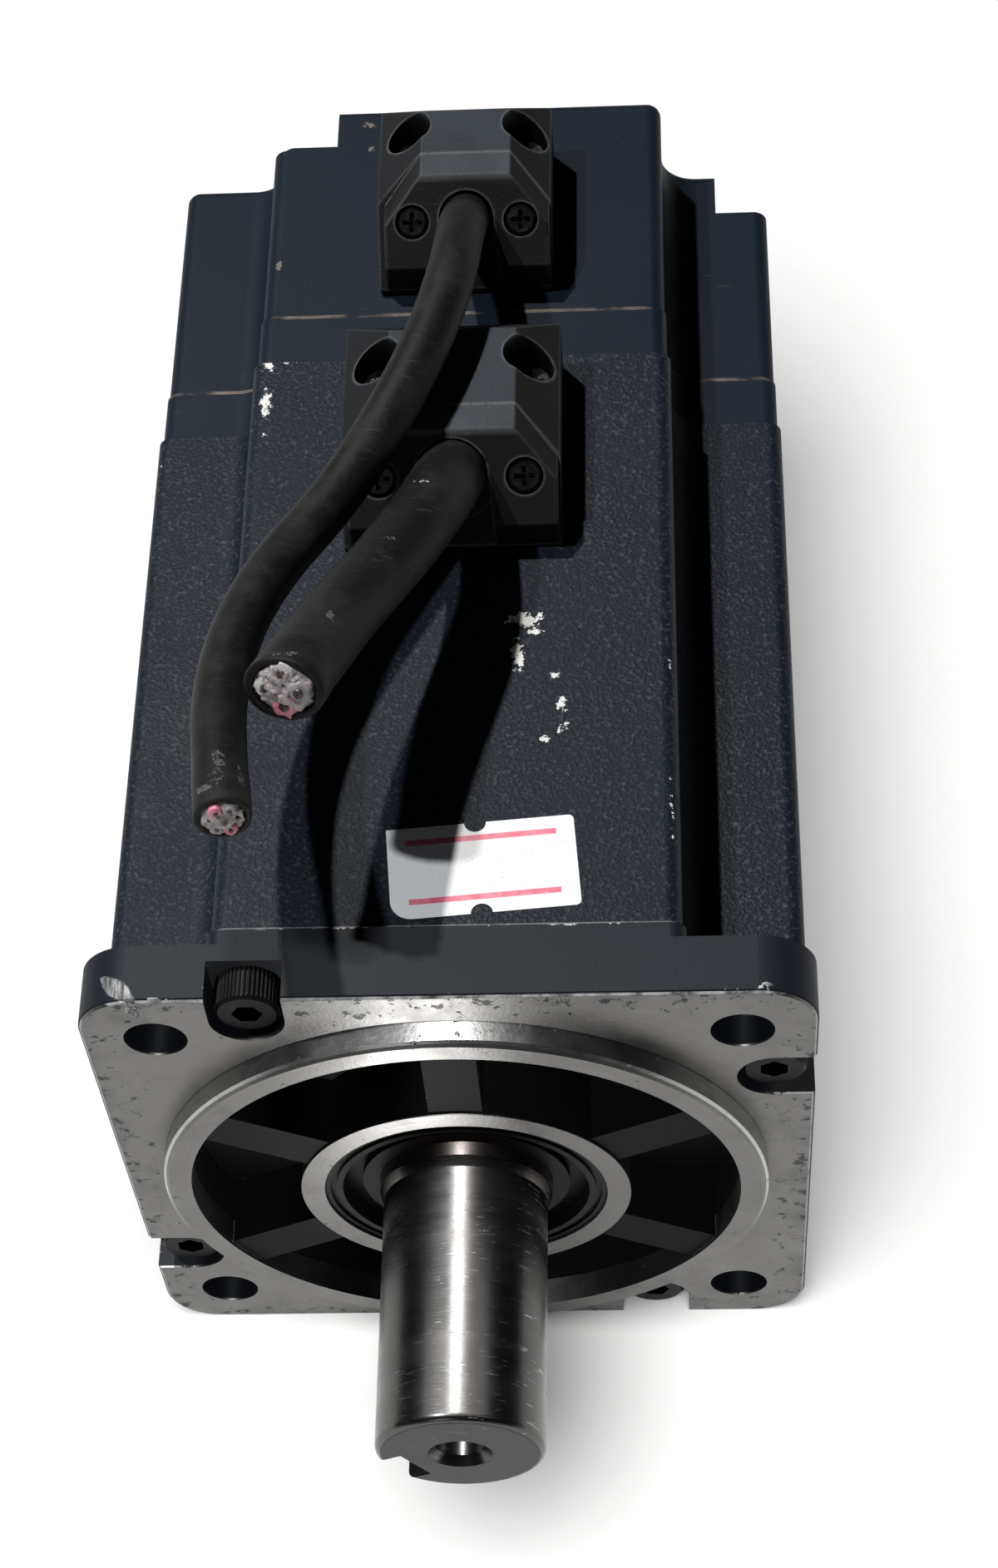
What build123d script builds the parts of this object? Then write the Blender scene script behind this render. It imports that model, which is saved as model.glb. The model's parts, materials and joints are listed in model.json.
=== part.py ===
from build123d import *
import math
import os
from types import SimpleNamespace

# Sizes are in millimetres. X runs to the right, Y back along the shaft axis and Z up.
# The origin is the centre of the flange's front face, and the shaft points to -Y.

# Front bracket: flange, pilot, recess with ribs, seal bore and bearing hub
flange_side = 80.0
flange_thickness = 7.0
flange_corner_radius = 6.5
flange_edge = 0.4
mount_share = 1.125
mount_hole_radius = 3.5
pilot_share = 0.875
pilot_height = 3.0
pilot_chamfer = 0.6
pilot_rim = 3.2
recess_depth = 5.5
boss_wall = 2.7
rib_width = 6.0
rib_setback = 0.5
rib_pairs = 3
neck_height = 2.0
neck_step = 0.4
spigot_wall = 3.6
spigot_length = 3.0
hub_wall = 3.5
hub_lip = 2.8

# Flange screws, in pockets that open to the flange's edges
flange_screw_side = 4.15
flange_screw_inset = 3.9
flange_pocket_radius = 4.15
flange_pocket_depth = 4.9
flange_screw_thread = 2.0
flange_screw_length = 16.0
flange_screw_head = 3.5
flange_screw_head_height = 4.0
flange_screw_hex = 3.0

# Stator housing, rear bracket and rear cover: plus-shaped sections
housing_length = 81.5
housing_setback = 0.7
arm_setback = 14.4
housing_wall = 4.3
notch_radius = 4.5
tip_radius = 1.8
bracket_thickness = 7.8
bracket_step = 0.4
bracket_recess_inner = 21.0
bracket_recess_rim = 4.5
bracket_recess_depth = 4.6
cover_length = 36.4
cover_step = 0.2
cover_wall = 5.7
cover_end_wall = 3.0
cover_edge_round = 2.4

# M3 screws that hold the rear bracket and the rear cover
rear_screw_side = 5.85
rear_screw_inset = 4.8
rear_screw_thread = 1.5
rear_screw_head = 2.75
rear_screw_head_height = 3.0
rear_screw_hex = 2.5
rear_screw_grip = 6.0
cover_notch_width = 8.2
cover_notch_height = 6.7
cover_notch_depth = 7.3
cover_notch_corner = 1.0
cover_screw_side = 4.6
cover_screw_inset = 3.7
bracket_pocket_radius = 2.95
bracket_pocket_depth = 4.0

# Shaft and rotor
shaft_radius = 9.5
shaft_reach = 35.0
shaft_end_round = 0.9
seal_seat_step = 0.5
seal_seat_front = -3.2
seal_seat_taper = 1.2
shaft_shoulder_radius = 12.0
rotor_seat_radius = 13.0
rear_seat_radius = 7.5
rear_shoulder_radius = 9.0
stub_radius = 5.0
stub_reach = 6.3
keyway_width = 6.0
keyway_floor = 6.0
keyway_length = 25.0
keyway_angle = 210.0
centre_sink_radius = 3.65
centre_sink_angle = 30.0
end_thread_radius = 3.0
end_thread_length = 16.0
rotor_core_radius = 17.5
magnet_radius = 19.9
magnet_count = 8
magnet_angle = 40.0
sleeve_radius = 20.3
sleeve_overhang = 0.5

# Oil seal
seal_radius = 16.4
seal_recess = 0.3
seal_shoulder = 5.0
seal_rim_radius = 14.3
seal_ridge_radius = 15.4
seal_ridge_width = 0.7
seal_ridge_depth = 0.4
seal_lip_radius = 12.0
seal_groove_depth = 2.2
seal_lip_setback = 1.1
seal_hole_radius = 13.5

# Ball bearings
front_seat = 7.2
front_bearing = SimpleNamespace(bore=shaft_radius + seal_seat_step, outer=21.0, width=12.0,
                                front=front_seat, ball=3.175, count=9)
rear_bearing = SimpleNamespace(bore=rear_seat_radius, outer=16.0, width=9.0, ball=2.38, count=9)
rear_bearing_inset = 4.0
race_shoulder = 0.75
cage_half_thickness = 0.9
cage_margin = 0.7
bearing_edge = 0.5
snap_ring_thickness = 1.2
snap_ring_depth = 1.0
snap_ring_width = 3.2
snap_ring_gap_angle = 30.0
spring_space = 1.5
spring_thickness = 0.6
spring_width = 3.2
spring_waves = 3
spring_wave_angle = 50.0
spring_hole_radius = 9.6
rear_hub_wall = 3.5
rear_hub_lip = 1.0

# Stator core and windings
front_coil_space = 20.0
rear_coil_space = 15.5
core_inner_radius = 21.0
tooth_count = 12
tooth_width = 4.4
slot_inner = 22.6
core_yoke = 6.0
slot_opening = 2.4
liner_thickness = 0.6
liner_end = 0.8
liner_inner = 22.9
liner_flange_half = 4.6
liner_flange_reach = 5.0
board_standoff = 8.0
coil_inner = 23.4
coil_depth_gap = 0.7
coil_build = 2.5
coil_end = 3.6
coil_corner = 2.4
coil_board_inner = 23.0
coil_board_gap = 2.0
board_thickness = 1.6
terminal_half_width = 5.0
terminal_depth = 2.2
terminal_height = 5.0
terminal_inset = 2.0

# Encoder behind the rear bracket
encoder_hub_gap = 0.7
encoder_hub_radius = 9.0
encoder_flange_radius = 13.0
encoder_flange_thickness = 2.0
encoder_flange_space = 6.9
encoder_cap_thickness = 1.4
disc_gap = 1.4
disc_thickness = 1.0
hub_screw_thread = 1.5
hub_screw_head = 2.75
hub_screw_head_height = 1.8
hub_screw_length = 8.0
hub_screw_hex = 2.0
standoff_count = 3
standoff_angle = 60.0
standoff_inset = 4.8
standoff_radius = 2.8
standoff_height = 12.7
encoder_board_gap = 1.5
board_screw_thread = 1.25
board_screw_head = 2.2
board_screw_head_height = 1.8
board_screw_length = 7.0
board_screw_hex = 1.5
reading_gap = 1.2
reading_half_width = 6.0
reading_height = 9.0
reading_overhang = 1.0
connector_half_width = 3.5
connector_depth = 5.9
connector_height = 6.0
connector_inset = 3.5
face_seal_gap = 0.7
face_seal_width = 1.6
face_seal_depth = 1.2

# Cable covers: one profile, two sizes
cover_height = 12.2
slope_run = 8.0
side_drop = 4.4
rear_drop = 4.6
cover_round = 0.45
gasket_thickness = 0.4
gasket_inset = 0.5
arch_rise = 4.25
clamp_leg = 1.9
slot_flare = 0.9
slot_reach = 12.0
clamp_screw_drop = 0.35
clamp_pocket_depth = 1.5
clamp_screw_thread = 1.0
clamp_screw_length = 6.0
clamp_screw_head_height = 1.2
cover_screw_height = 4.7
cover_screw_head_height = 2.0
cover_screw_grip = 4.0
recess_share = 0.62
recess_slot = 0.6
bush_depth = 3.0
passage_depth = 6.4
chamber_wall = 1.8
chamber_height = 5.7
lead_height = 2.2

power_cover_inset = 1.7
encoder_cover_inset = 3.2
power = SimpleNamespace(
    base_x=-0.3, clamp_x=0.0, length=28.0, half_width=12.85, clamp_half=12.3, plateau=7.5,
    cable=4.1, slot_gap=0.12, bush=5.4, passage=3.4, chamber_half=4.6,
    clamp_screw_x=8.47, clamp_pocket=2.2, clamp_head=1.95,
    screw_x=8.9, screw_run=19.7, screw_pocket=2.95, screw_head=2.6, screw_thread=1.5,
    jacket_wall=0.95, core=1.3, core_circle=1.84, core_count=4, centre_core=0,
    lead=0.7, lead_pitch=1.6, lead_run=24.9,
    window_half=4.6, window_run=19.2, window_length=7.0)
encoder = SimpleNamespace(
    base_x=0.5, clamp_x=0.9, length=23.7, half_width=10.75, clamp_half=10.2, plateau=5.5,
    cable=2.95, slot_gap=0.4, bush=4.1, passage=2.4, chamber_half=3.2,
    clamp_screw_x=6.67, clamp_pocket=2.1, clamp_head=1.9,
    screw_x=7.2, screw_run=16.7, screw_pocket=2.75, screw_head=2.4, screw_thread=1.25,
    jacket_wall=0.75, core=0.7, core_circle=1.42, core_count=6, centre_core=1,
    lead=0.4, lead_pitch=0.9, lead_run=14.5,
    window_half=3.2, window_run=11.3, window_length=6.4)
lead_count = 4

# Free cables: points from the clamp to the cut end
power_route = [
    (0.0, 66.95, 45.85), (0.0, 59.75, 53.05), (-1.3, 50.5, 59.4), (-4.5, 39.9, 64.7),
    (-9.6, 29.3, 68.4), (-14.6, 19.3, 69.5)]
encoder_route = [
    (0.9, 107.65, 45.85), (0.9, 102.15, 51.35), (0.9, 95.0, 55.8), (0.5, 87.3, 58.6),
    (-0.9, 78.7, 60.0), (-3.7, 69.9, 60.0), (-7.8, 61.1, 58.8), (-12.5, 52.0, 58.5),
    (-17.8, 43.3, 59.7), (-21.2, 33.8, 61.3), (-22.4, 24.2, 62.6), (-21.7, 15.1, 64.0),
    (-20.5, 6.5, 65.3)]
bend_share = 0.45

# Label on top of the housing
label_width = 20.7
label_height = 11.7
label_thickness = 0.1
label_x = 4.0
label_y = 16.6
label_turn = 4.7
label_corner = 0.6
label_lifted_corner = 2.4
label_notch_radius = 1.2
label_notch_x = -0.5

# Clearances
fit_gap = 0.02
thread_gap = 0.02
screw_gap = 0.2
ball_gap = 0.05
lip_gap = 0.05
screw_edge = 0.3
hex_share = 0.55

mount_circle = mount_share * flange_side
pilot_radius = pilot_share * flange_side / 2
recess_radius = pilot_radius - pilot_rim
boss_radius = seal_radius + boss_wall
seal_seat_radius = front_bearing.bore
housing_half = flange_side / 2 - housing_setback
housing_arm = flange_side / 2 - arm_setback
housing_bore = housing_half - housing_wall
neck_half = housing_half + neck_step
neck_arm = housing_arm + neck_step
bracket_half = housing_half - bracket_step
bracket_arm = housing_arm - bracket_step
cover_half = bracket_half - cover_step
cover_arm = bracket_arm - cover_step
cavity_radius = cover_half - cover_wall
housing_front = flange_thickness + neck_height
housing_back = housing_front + housing_length
bracket_back = housing_back + bracket_thickness
cover_back = bracket_back + cover_length
rear_bearing.front = housing_back - rear_bearing_inset
flange_screw_across = housing_arm - flange_screw_side
flange_screw_along = housing_half - flange_screw_inset
rear_screw_across = housing_arm - rear_screw_side
rear_screw_along = housing_half - rear_screw_inset
cover_screw_across = cover_arm - cover_screw_side
cover_screw_along = cover_half - cover_screw_inset
core_front = housing_front + front_coil_space
core_back = housing_back - rear_coil_space
core_length = core_back - core_front
slot_outer = housing_bore - core_yoke
liner_outer = slot_outer
coil_outer = liner_outer - coil_depth_gap
coil_board_outer = housing_bore - coil_board_gap
coil_board_front = core_back + board_standoff
coil_board_back = coil_board_front + board_thickness
terminal_top = coil_board_outer - terminal_inset
terminal_bottom = terminal_top - terminal_height
encoder_flange_back = bracket_back + encoder_flange_space
encoder_board_front = bracket_back + standoff_height
encoder_board_back = encoder_board_front + board_thickness
encoder_board_radius = cavity_radius - encoder_board_gap
standoff_circle = cavity_radius - standoff_inset
disc_radius = standoff_circle - standoff_radius - disc_gap
reading_top = disc_radius + reading_overhang
reading_bottom = reading_top - reading_height
connector_top = encoder_board_radius - connector_inset
connector_bottom = connector_top - connector_height
face_seal_inner = cavity_radius + face_seal_gap
face_seal_outer = face_seal_inner + face_seal_width
cover_top = housing_half + cover_height
cover_screw_seat = housing_half + cover_screw_height
chamber_top = housing_half + chamber_height
lead_z = housing_half + lead_height
slope_foot = cover_top - slope_run
clamp_thickness = clamp_leg * math.sqrt(2)
power.seat = housing_half
power.front = housing_back - power_cover_inset - power.length
power.lead_end = terminal_top
encoder.seat = cover_half
encoder.front = bracket_back + encoder_cover_inset
encoder.lead_end = connector_top
for cover in (power, encoder):
    cover.back = cover.front + cover.length
    cover.screw_y = cover.front + cover.screw_run
    cover.lead_y = cover.front + cover.lead_run
    cover.window_front = cover.front + cover.window_run
    cover.window_back = cover.window_front + cover.window_length
bearing_back = front_bearing.front + front_bearing.width
rear_bearing_back = rear_bearing.front + rear_bearing.width
hub_back = bearing_back + hub_lip
snap_ring_back = bearing_back + snap_ring_thickness
snap_groove_radius = front_bearing.outer + snap_ring_depth
stub_end = bracket_back + stub_reach
forward = (0, -1, 0)
rearward = (0, 1, 0)
upward = (0, 0, 1)
outward = (0, -1, 1)


def seat(x, y, z, facing):
    """Plane at a point whose z axis faces the given way."""
    return Plane(origin=(x, y, z), x_dir=(1, 0, 0), z_dir=facing)


def slab(outline, front, back):
    """Solid of an upright outline, drawn with X across and Z up, from front to back."""
    return extrude(seat(0, back, 0, forward) * outline, back - front, dir=forward)


def rod(radius, front, back, x=0.0, z=0.0):
    """Round solid along the shaft direction."""
    return slab(Pos(x, z) * Circle(radius), front, back)


def turned(*profile):
    """Solid turned about the shaft axis from points of radius and y."""
    return revolve(make_face(Polyline(*profile, close=True)), Axis.Y)


def ring(inner, outer, front, back):
    """Plain ring about the shaft axis."""
    return turned((inner, front), (outer, front), (outer, back), (inner, back))


def block(x_low, x_high, front, back, bottom, top):
    """Box between limits."""
    size = (x_high - x_low, back - front, top - bottom)
    return Pos(x_low, front, bottom) * Box(*size, align=(Align.MIN, Align.MIN, Align.MIN))


def around(shape, count, start=0.0):
    """Copies of a solid, evenly spaced about the shaft axis."""
    return [Rot(0, start + 360 * k / count, 0) * shape for k in range(count)]


def wedge(reach, angle):
    """Triangle with its tip on the axis that opens upward by an angle."""
    half = reach * math.tan(math.radians(angle / 2))
    return make_face(Polyline((0, 0), (half, reach), (-half, reach), close=True))


def plus_section(half, arm):
    """Plus-shaped outline with rounded tips and rounded inner corners."""
    outline = Rectangle(2 * half, 2 * arm) + Rectangle(2 * arm, 2 * half)
    notches = outline.vertices().sort_by_distance((0, 0, 0))[:4]
    outline = fillet(notches, notch_radius)
    tips = outline.vertices().filter_by(lambda v: max(abs(v.X), abs(v.Y)) > half - fit_gap)
    return fillet(tips, tip_radius)


def open_pocket(radius, across, along, reach):
    """Round-ended pocket that is open upward."""
    return Pos(-across, along) * (Circle(radius) + Pos(0, reach / 2) * Rectangle(2 * radius, reach))


def hexagon(across_flats):
    """Outline of a hexagon socket."""
    return RegularPolygon(across_flats / 2, 6, major_radius=False)


def cross(head_radius):
    """Outline of a cross recess."""
    length = 2 * head_radius * recess_share
    return Rectangle(length, recess_slot) + Rectangle(recess_slot, length)


def screw(thread, length, head_radius, head_height, socket):
    """Screw on the XY plane, its head above and its thread below."""
    body = extrude(Circle(head_radius), head_height)
    body = chamfer(body.edges().group_by(Axis.Z)[-1], screw_edge)
    body += Pos(0, 0, -length) * extrude(Circle(thread), length)
    depth = head_height * hex_share
    return body - Pos(0, 0, head_height - depth) * extrude(socket, depth)


def front_bracket():
    """Flange, pilot, ribbed recess and bearing hub, cast in one piece."""
    plate = slab(RectangleRounded(flange_side, flange_side, flange_corner_radius), 0, flange_thickness)
    plate = chamfer(plate.faces().sort_by(Axis.Y)[0].edges(), flange_edge)
    body = plate + slab(plus_section(neck_half, neck_arm), flange_thickness, housing_front)
    body += turned((0, -pilot_height), (pilot_radius - pilot_chamfer, -pilot_height),
                   (pilot_radius, pilot_chamfer - pilot_height), (pilot_radius, 0), (0, 0))
    body += ring(housing_bore - spigot_wall, housing_bore - fit_gap, housing_front,
                 housing_front + spigot_length)
    body += rod(snap_groove_radius + hub_wall - snap_ring_depth, recess_depth, hub_back)
    annulus = Circle(recess_radius) - Circle(boss_radius)
    windows = annulus
    for k in range(rib_pairs):
        windows -= Rot(0, 0, 180 * k / rib_pairs) * Rectangle(rib_width, 2 * recess_radius)
    body -= slab(windows, -pilot_height, recess_depth)
    body -= slab(annulus, -pilot_height, rib_setback - pilot_height)
    body -= turned((0, -pilot_height), (seal_radius, -pilot_height), (seal_radius, seal_shoulder),
                   (seal_hole_radius, seal_shoulder), (seal_hole_radius, front_seat),
                   (front_bearing.outer + fit_gap, front_seat),
                   (front_bearing.outer + fit_gap, bearing_back), (snap_groove_radius, bearing_back),
                   (snap_groove_radius, snap_ring_back), (front_bearing.outer + fit_gap, snap_ring_back),
                   (front_bearing.outer + fit_gap, hub_back), (0, hub_back))
    spacing = mount_circle / math.sqrt(2)
    for place in GridLocations(spacing, spacing, 2, 2):
        body -= slab(place * Circle(mount_hole_radius), 0, flange_thickness)
    pocket = open_pocket(flange_pocket_radius, flange_screw_across, flange_screw_along, flange_side / 2)
    pocket = slab(pocket, 0, flange_pocket_depth)
    pocket += rod(flange_screw_thread + screw_gap, flange_pocket_depth, housing_front,
                  -flange_screw_across, flange_screw_along)
    for cut in around(pocket, 4):
        body -= cut
    return body


def flange_screws():
    """Four socket head screws in the flange's pockets."""
    one = screw(flange_screw_thread, flange_screw_length, flange_screw_head, flange_screw_head_height,
                hexagon(flange_screw_hex))
    placed = seat(-flange_screw_across, flange_pocket_depth, flange_screw_along, forward) * one
    return Compound(children=around(placed, 4))


def oil_seal():
    """Lip seal: outer rim with a ridge groove, deep groove and inner lip."""
    face = seal_recess - pilot_height
    return turned(
        (seal_radius - fit_gap, face), (seal_radius - fit_gap, seal_shoulder),
        (seal_seat_radius + lip_gap, seal_shoulder), (seal_seat_radius + lip_gap, face + seal_lip_setback),
        (seal_lip_radius, face + seal_lip_setback), (seal_lip_radius, face + seal_groove_depth),
        (seal_rim_radius, face + seal_groove_depth), (seal_rim_radius, face),
        (seal_ridge_radius - seal_ridge_width / 2, face),
        (seal_ridge_radius - seal_ridge_width / 2, face + seal_ridge_depth),
        (seal_ridge_radius + seal_ridge_width / 2, face + seal_ridge_depth),
        (seal_ridge_radius + seal_ridge_width / 2, face))


def bearing_pitch(bearing):
    """Radius of the circle through the balls' centres."""
    return (bearing.bore + bearing.outer) / 2


def ball_track(bearing):
    """Ring-shaped groove in which the balls run."""
    middle = bearing.front + bearing.width / 2
    section = Pos(bearing_pitch(bearing), middle) * Circle(bearing.ball + ball_gap)
    return revolve(section, Axis.Y)


def bearing_outer(bearing):
    """Outer ring with its ball track."""
    shoulder = bearing_pitch(bearing) + race_shoulder * bearing.ball
    back = bearing.front + bearing.width
    body = turned((shoulder, bearing.front), (bearing.outer - bearing_edge, bearing.front),
                  (bearing.outer, bearing.front + bearing_edge), (bearing.outer, back - bearing_edge),
                  (bearing.outer - bearing_edge, back), (shoulder, back))
    return body - ball_track(bearing)


def bearing_inner(bearing):
    """Inner ring with its ball track."""
    shoulder = bearing_pitch(bearing) - race_shoulder * bearing.ball
    bore = bearing.bore + fit_gap
    back = bearing.front + bearing.width
    body = turned((bore, bearing.front + bearing_edge), (bore + bearing_edge, bearing.front),
                  (shoulder, bearing.front), (shoulder, back), (bore + bearing_edge, back),
                  (bore, back - bearing_edge))
    return body - ball_track(bearing)


def bearing_balls(bearing):
    """Balls on their pitch circle."""
    middle = bearing.front + bearing.width / 2
    ball = Pos(0, middle, bearing_pitch(bearing)) * Sphere(bearing.ball)
    return around(ball, bearing.count)


def bearing_cage(bearing):
    """Cage ring with a pocket for each ball."""
    middle = bearing.front + bearing.width / 2
    half_width = bearing.ball + cage_margin
    pitch = bearing_pitch(bearing)
    body = ring(pitch - cage_half_thickness, pitch + cage_half_thickness, middle - half_width,
                middle + half_width)
    for ball in bearing_balls(bearing):
        body -= ball
    return body


def snap_ring():
    """Open ring in the hub's groove that keeps the front bearing in."""
    outer = snap_groove_radius - fit_gap
    outline = Circle(outer) - Circle(outer - snap_ring_width) - wedge(2 * outer, snap_ring_gap_angle)
    return slab(outline, bearing_back, snap_ring_back)


def wave_spring():
    """Ring with waves on both faces that preloads the rear bearing."""
    outer = rear_bearing.outer - ball_gap
    body = ring(outer - spring_width, outer, rear_bearing_back, rear_bearing_back + spring_space)
    depth = spring_space - spring_thickness
    half_chord = outer * math.sin(math.radians(spring_wave_angle / 2))
    radius = (half_chord ** 2 + depth ** 2) / (2 * depth)
    hollow = extrude(Circle(radius), outer)
    front_hollows = around(Pos(0, rear_bearing_back + depth - radius, 0) * hollow, spring_waves)
    back_hollows = around(Pos(0, rear_bearing_back + spring_thickness + radius, 0) * hollow, spring_waves,
                          180 / spring_waves)
    for cut in front_hollows + back_hollows:
        body -= cut
    return body


def stator_housing():
    """Plus-shaped tube around the stator, with a window under the power cover."""
    body = slab(plus_section(housing_half, housing_arm) - Circle(housing_bore), housing_front, housing_back)
    depth = flange_pocket_depth + flange_screw_length + screw_gap
    thread = rod(flange_screw_thread + thread_gap, housing_front, depth, -flange_screw_across,
                 flange_screw_along)
    for cut in around(thread, 4):
        body -= cut
    depth = bracket_back - bracket_pocket_depth - bracket_screw_length()
    thread = rod(rear_screw_thread + thread_gap, depth, housing_back, rear_screw_across, rear_screw_along)
    for cut in around(thread, 4):
        body -= cut
    body -= cover_window(power, slot_outer)
    for cut in cover_threads(power):
        body -= cut
    return body


def lamination_slot():
    """Slot between two teeth, with its narrow opening to the bore."""
    half_pitch = math.radians(180 / tooth_count)
    inner = slot_inner * math.tan(half_pitch) - tooth_width / 2 / math.cos(half_pitch)
    outer = slot_outer * math.tan(half_pitch) - tooth_width / 2 / math.cos(half_pitch)
    outline = make_face(Polyline((inner, slot_inner), (outer, slot_outer), (-outer, slot_outer),
                                 (-inner, slot_inner), close=True))
    mouth = slot_inner - core_inner_radius * math.cos(half_pitch)
    return outline + Pos(0, slot_inner - mouth / 2) * Rectangle(slot_opening, mouth + thread_gap)


def stator_core():
    """Laminated core with its teeth."""
    outline = Circle(housing_bore - fit_gap) - Circle(core_inner_radius)
    for k in range(tooth_count):
        outline -= Rot(0, 0, 360 * (k + 0.5) / tooth_count) * lamination_slot()
    return slab(outline, core_front, core_back)


def slot_insulators():
    """Bobbin on each tooth, with end flanges that hold the coil and the coil board."""
    half = tooth_width / 2 + liner_thickness
    body = block(-half, half, core_front - liner_end, core_back + liner_end, liner_inner, liner_outer)
    body -= block(-tooth_width / 2, tooth_width / 2, core_front, core_back, liner_inner, liner_outer)
    for bottom, top, back in ((liner_inner, coil_inner, liner_flange_reach),
                              (coil_outer, liner_outer, board_standoff)):
        body += block(-liner_flange_half, liner_flange_half, core_front - liner_flange_reach, core_front,
                      bottom, top)
        body += block(-liner_flange_half, liner_flange_half, core_back, core_back + back, bottom, top)
    return Compound(children=around(body, tooth_count))


def stator_coils():
    """One coil round each tooth."""
    window = tooth_width + 2 * liner_thickness
    inner_length = core_length + 2 * liner_end
    outline = RectangleRounded(window + 2 * coil_build, inner_length + 2 * coil_end, coil_corner)
    outline -= Rectangle(window, inner_length)
    place = Pos(0, (core_front + core_back) / 2, coil_inner)
    return Compound(children=around(place * extrude(outline, coil_outer - coil_inner), tooth_count))


def rear_bracket():
    """Bearing bracket with spigot, hub, standoffs for the encoder board and a face seal groove."""
    seat_radius = rear_bearing.outer + fit_gap
    shoulder = rear_bearing_back + spring_space
    hub_front = rear_bearing.front - rear_hub_lip
    body = slab(plus_section(bracket_half, bracket_arm), housing_back, bracket_back)
    body += ring(housing_bore - spigot_wall, housing_bore - fit_gap, housing_back - spigot_length,
                 housing_back)
    body += rod(seat_radius + rear_hub_wall, hub_front, housing_back)
    body -= ring(bracket_recess_inner, housing_bore - bracket_recess_rim, housing_back,
                 housing_back + bracket_recess_depth)
    body -= rod(seat_radius, hub_front, shoulder)
    body -= rod(spring_hole_radius, shoulder, bracket_back)
    body -= ring(face_seal_inner, face_seal_outer, bracket_back - face_seal_depth, bracket_back)
    posts = rod(standoff_radius, bracket_back, encoder_board_front, 0, standoff_circle)
    threads = rod(board_screw_thread + thread_gap, encoder_board_back - board_screw_length,
                  encoder_board_front, 0, standoff_circle)
    for post in around(posts, standoff_count, standoff_angle):
        body += post
    for cut in around(threads, standoff_count, standoff_angle):
        body -= cut
    cover_thread = rod(rear_screw_thread + thread_gap, housing_back, bracket_back, -cover_screw_across,
                       cover_screw_along)
    pocket = rod(bracket_pocket_radius, bracket_back - bracket_pocket_depth, bracket_back,
                 rear_screw_across, rear_screw_along)
    pocket += rod(rear_screw_thread + screw_gap, housing_back, bracket_back, rear_screw_across,
                  rear_screw_along)
    for cut in around(cover_thread, 4) + around(pocket, 4):
        body -= cut
    return body


def bracket_screw_length():
    """Length under the head of the rear bracket's screws."""
    return bracket_thickness - bracket_pocket_depth + rear_screw_grip


def rear_bracket_screws():
    """Four screws that hold the rear bracket on the housing."""
    one = screw(rear_screw_thread, bracket_screw_length(), rear_screw_head, rear_screw_head_height,
                hexagon(rear_screw_hex))
    placed = seat(rear_screw_across, bracket_back - bracket_pocket_depth, rear_screw_along, rearward) * one
    return Compound(children=around(placed, 4))


def rear_cover():
    """Closed cap over the encoder, with a notch for each screw and a window under the encoder cover."""
    body = slab(plus_section(cover_half, cover_arm), bracket_back, cover_back)
    body = fillet(body.faces().sort_by(Axis.Y)[-1].edges(), tip_radius - screw_gap)
    body -= rod(cavity_radius, bracket_back, cover_back - cover_end_wall)
    notch_front = cover_back - cover_notch_depth
    notch = block(-flange_side, cover_notch_width - cover_arm, notch_front, cover_back,
                  cover_half - cover_notch_height, flange_side)
    inner_edges = notch.edges().filter_by(Axis.Y).sort_by(lambda edge: edge.center().X - edge.center().Z)
    notch = fillet(inner_edges[-1], cover_notch_corner)
    notch += rod(rear_screw_thread + screw_gap, bracket_back, notch_front, -cover_screw_across,
                 cover_screw_along)
    for cut in around(notch, 4):
        body -= cut
    body -= cover_window(encoder, slot_outer)
    for cut in cover_threads(encoder):
        body -= cut
    return body


def rear_cover_screws():
    """Four long screws through the rear cover into the rear bracket."""
    length = cover_length - cover_notch_depth + rear_screw_grip
    one = screw(rear_screw_thread, length, rear_screw_head, rear_screw_head_height,
                hexagon(rear_screw_hex))
    placed = seat(-cover_screw_across, cover_back - cover_notch_depth, cover_screw_along, rearward) * one
    return Compound(children=around(placed, 4))


def shaft():
    """Stepped shaft with a keyway that is open at its end and a threaded centre hole."""
    taper_front = seal_seat_front - seal_seat_taper
    rotor_front = core_front - liner_end
    rotor_back = core_back + liner_end
    body = turned(
        (0, -shaft_reach), (shaft_radius, -shaft_reach), (shaft_radius, taper_front),
        (seal_seat_radius, seal_seat_front), (seal_seat_radius, bearing_back),
        (shaft_shoulder_radius, bearing_back), (shaft_shoulder_radius, rotor_front),
        (rotor_seat_radius, rotor_front), (rotor_seat_radius, rotor_back),
        (rear_shoulder_radius, rotor_back), (rear_shoulder_radius, rear_bearing.front),
        (rear_seat_radius, rear_bearing.front), (rear_seat_radius, rear_bearing_back),
        (stub_radius, rear_bearing_back), (stub_radius, stub_end), (0, stub_end))
    body = fillet(body.edges().group_by(Axis.Y)[0], shaft_end_round)
    angle = math.radians(keyway_angle)
    away = (math.cos(angle), 0, math.sin(angle))
    floor = Plane(origin=(keyway_floor * away[0], -shaft_reach, keyway_floor * away[2]),
                  x_dir=rearward, z_dir=away)
    straight = keyway_length - keyway_width / 2
    slot = Pos(straight / 2, 0) * Rectangle(straight, keyway_width) + Pos(straight, 0) * Circle(
        keyway_width / 2)
    body -= extrude(floor * slot, shaft_radius)
    sink_depth = (centre_sink_radius - end_thread_radius) / math.tan(math.radians(centre_sink_angle))
    body -= turned((0, -shaft_reach), (centre_sink_radius, -shaft_reach),
                   (end_thread_radius, sink_depth - shaft_reach),
                   (end_thread_radius, end_thread_length - shaft_reach),
                   (0, end_thread_length + end_thread_radius - shaft_reach))
    screw_end = stub_end + encoder_cap_thickness - hub_screw_length - screw_gap
    return body - rod(hub_screw_thread + thread_gap, screw_end, stub_end)


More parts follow.
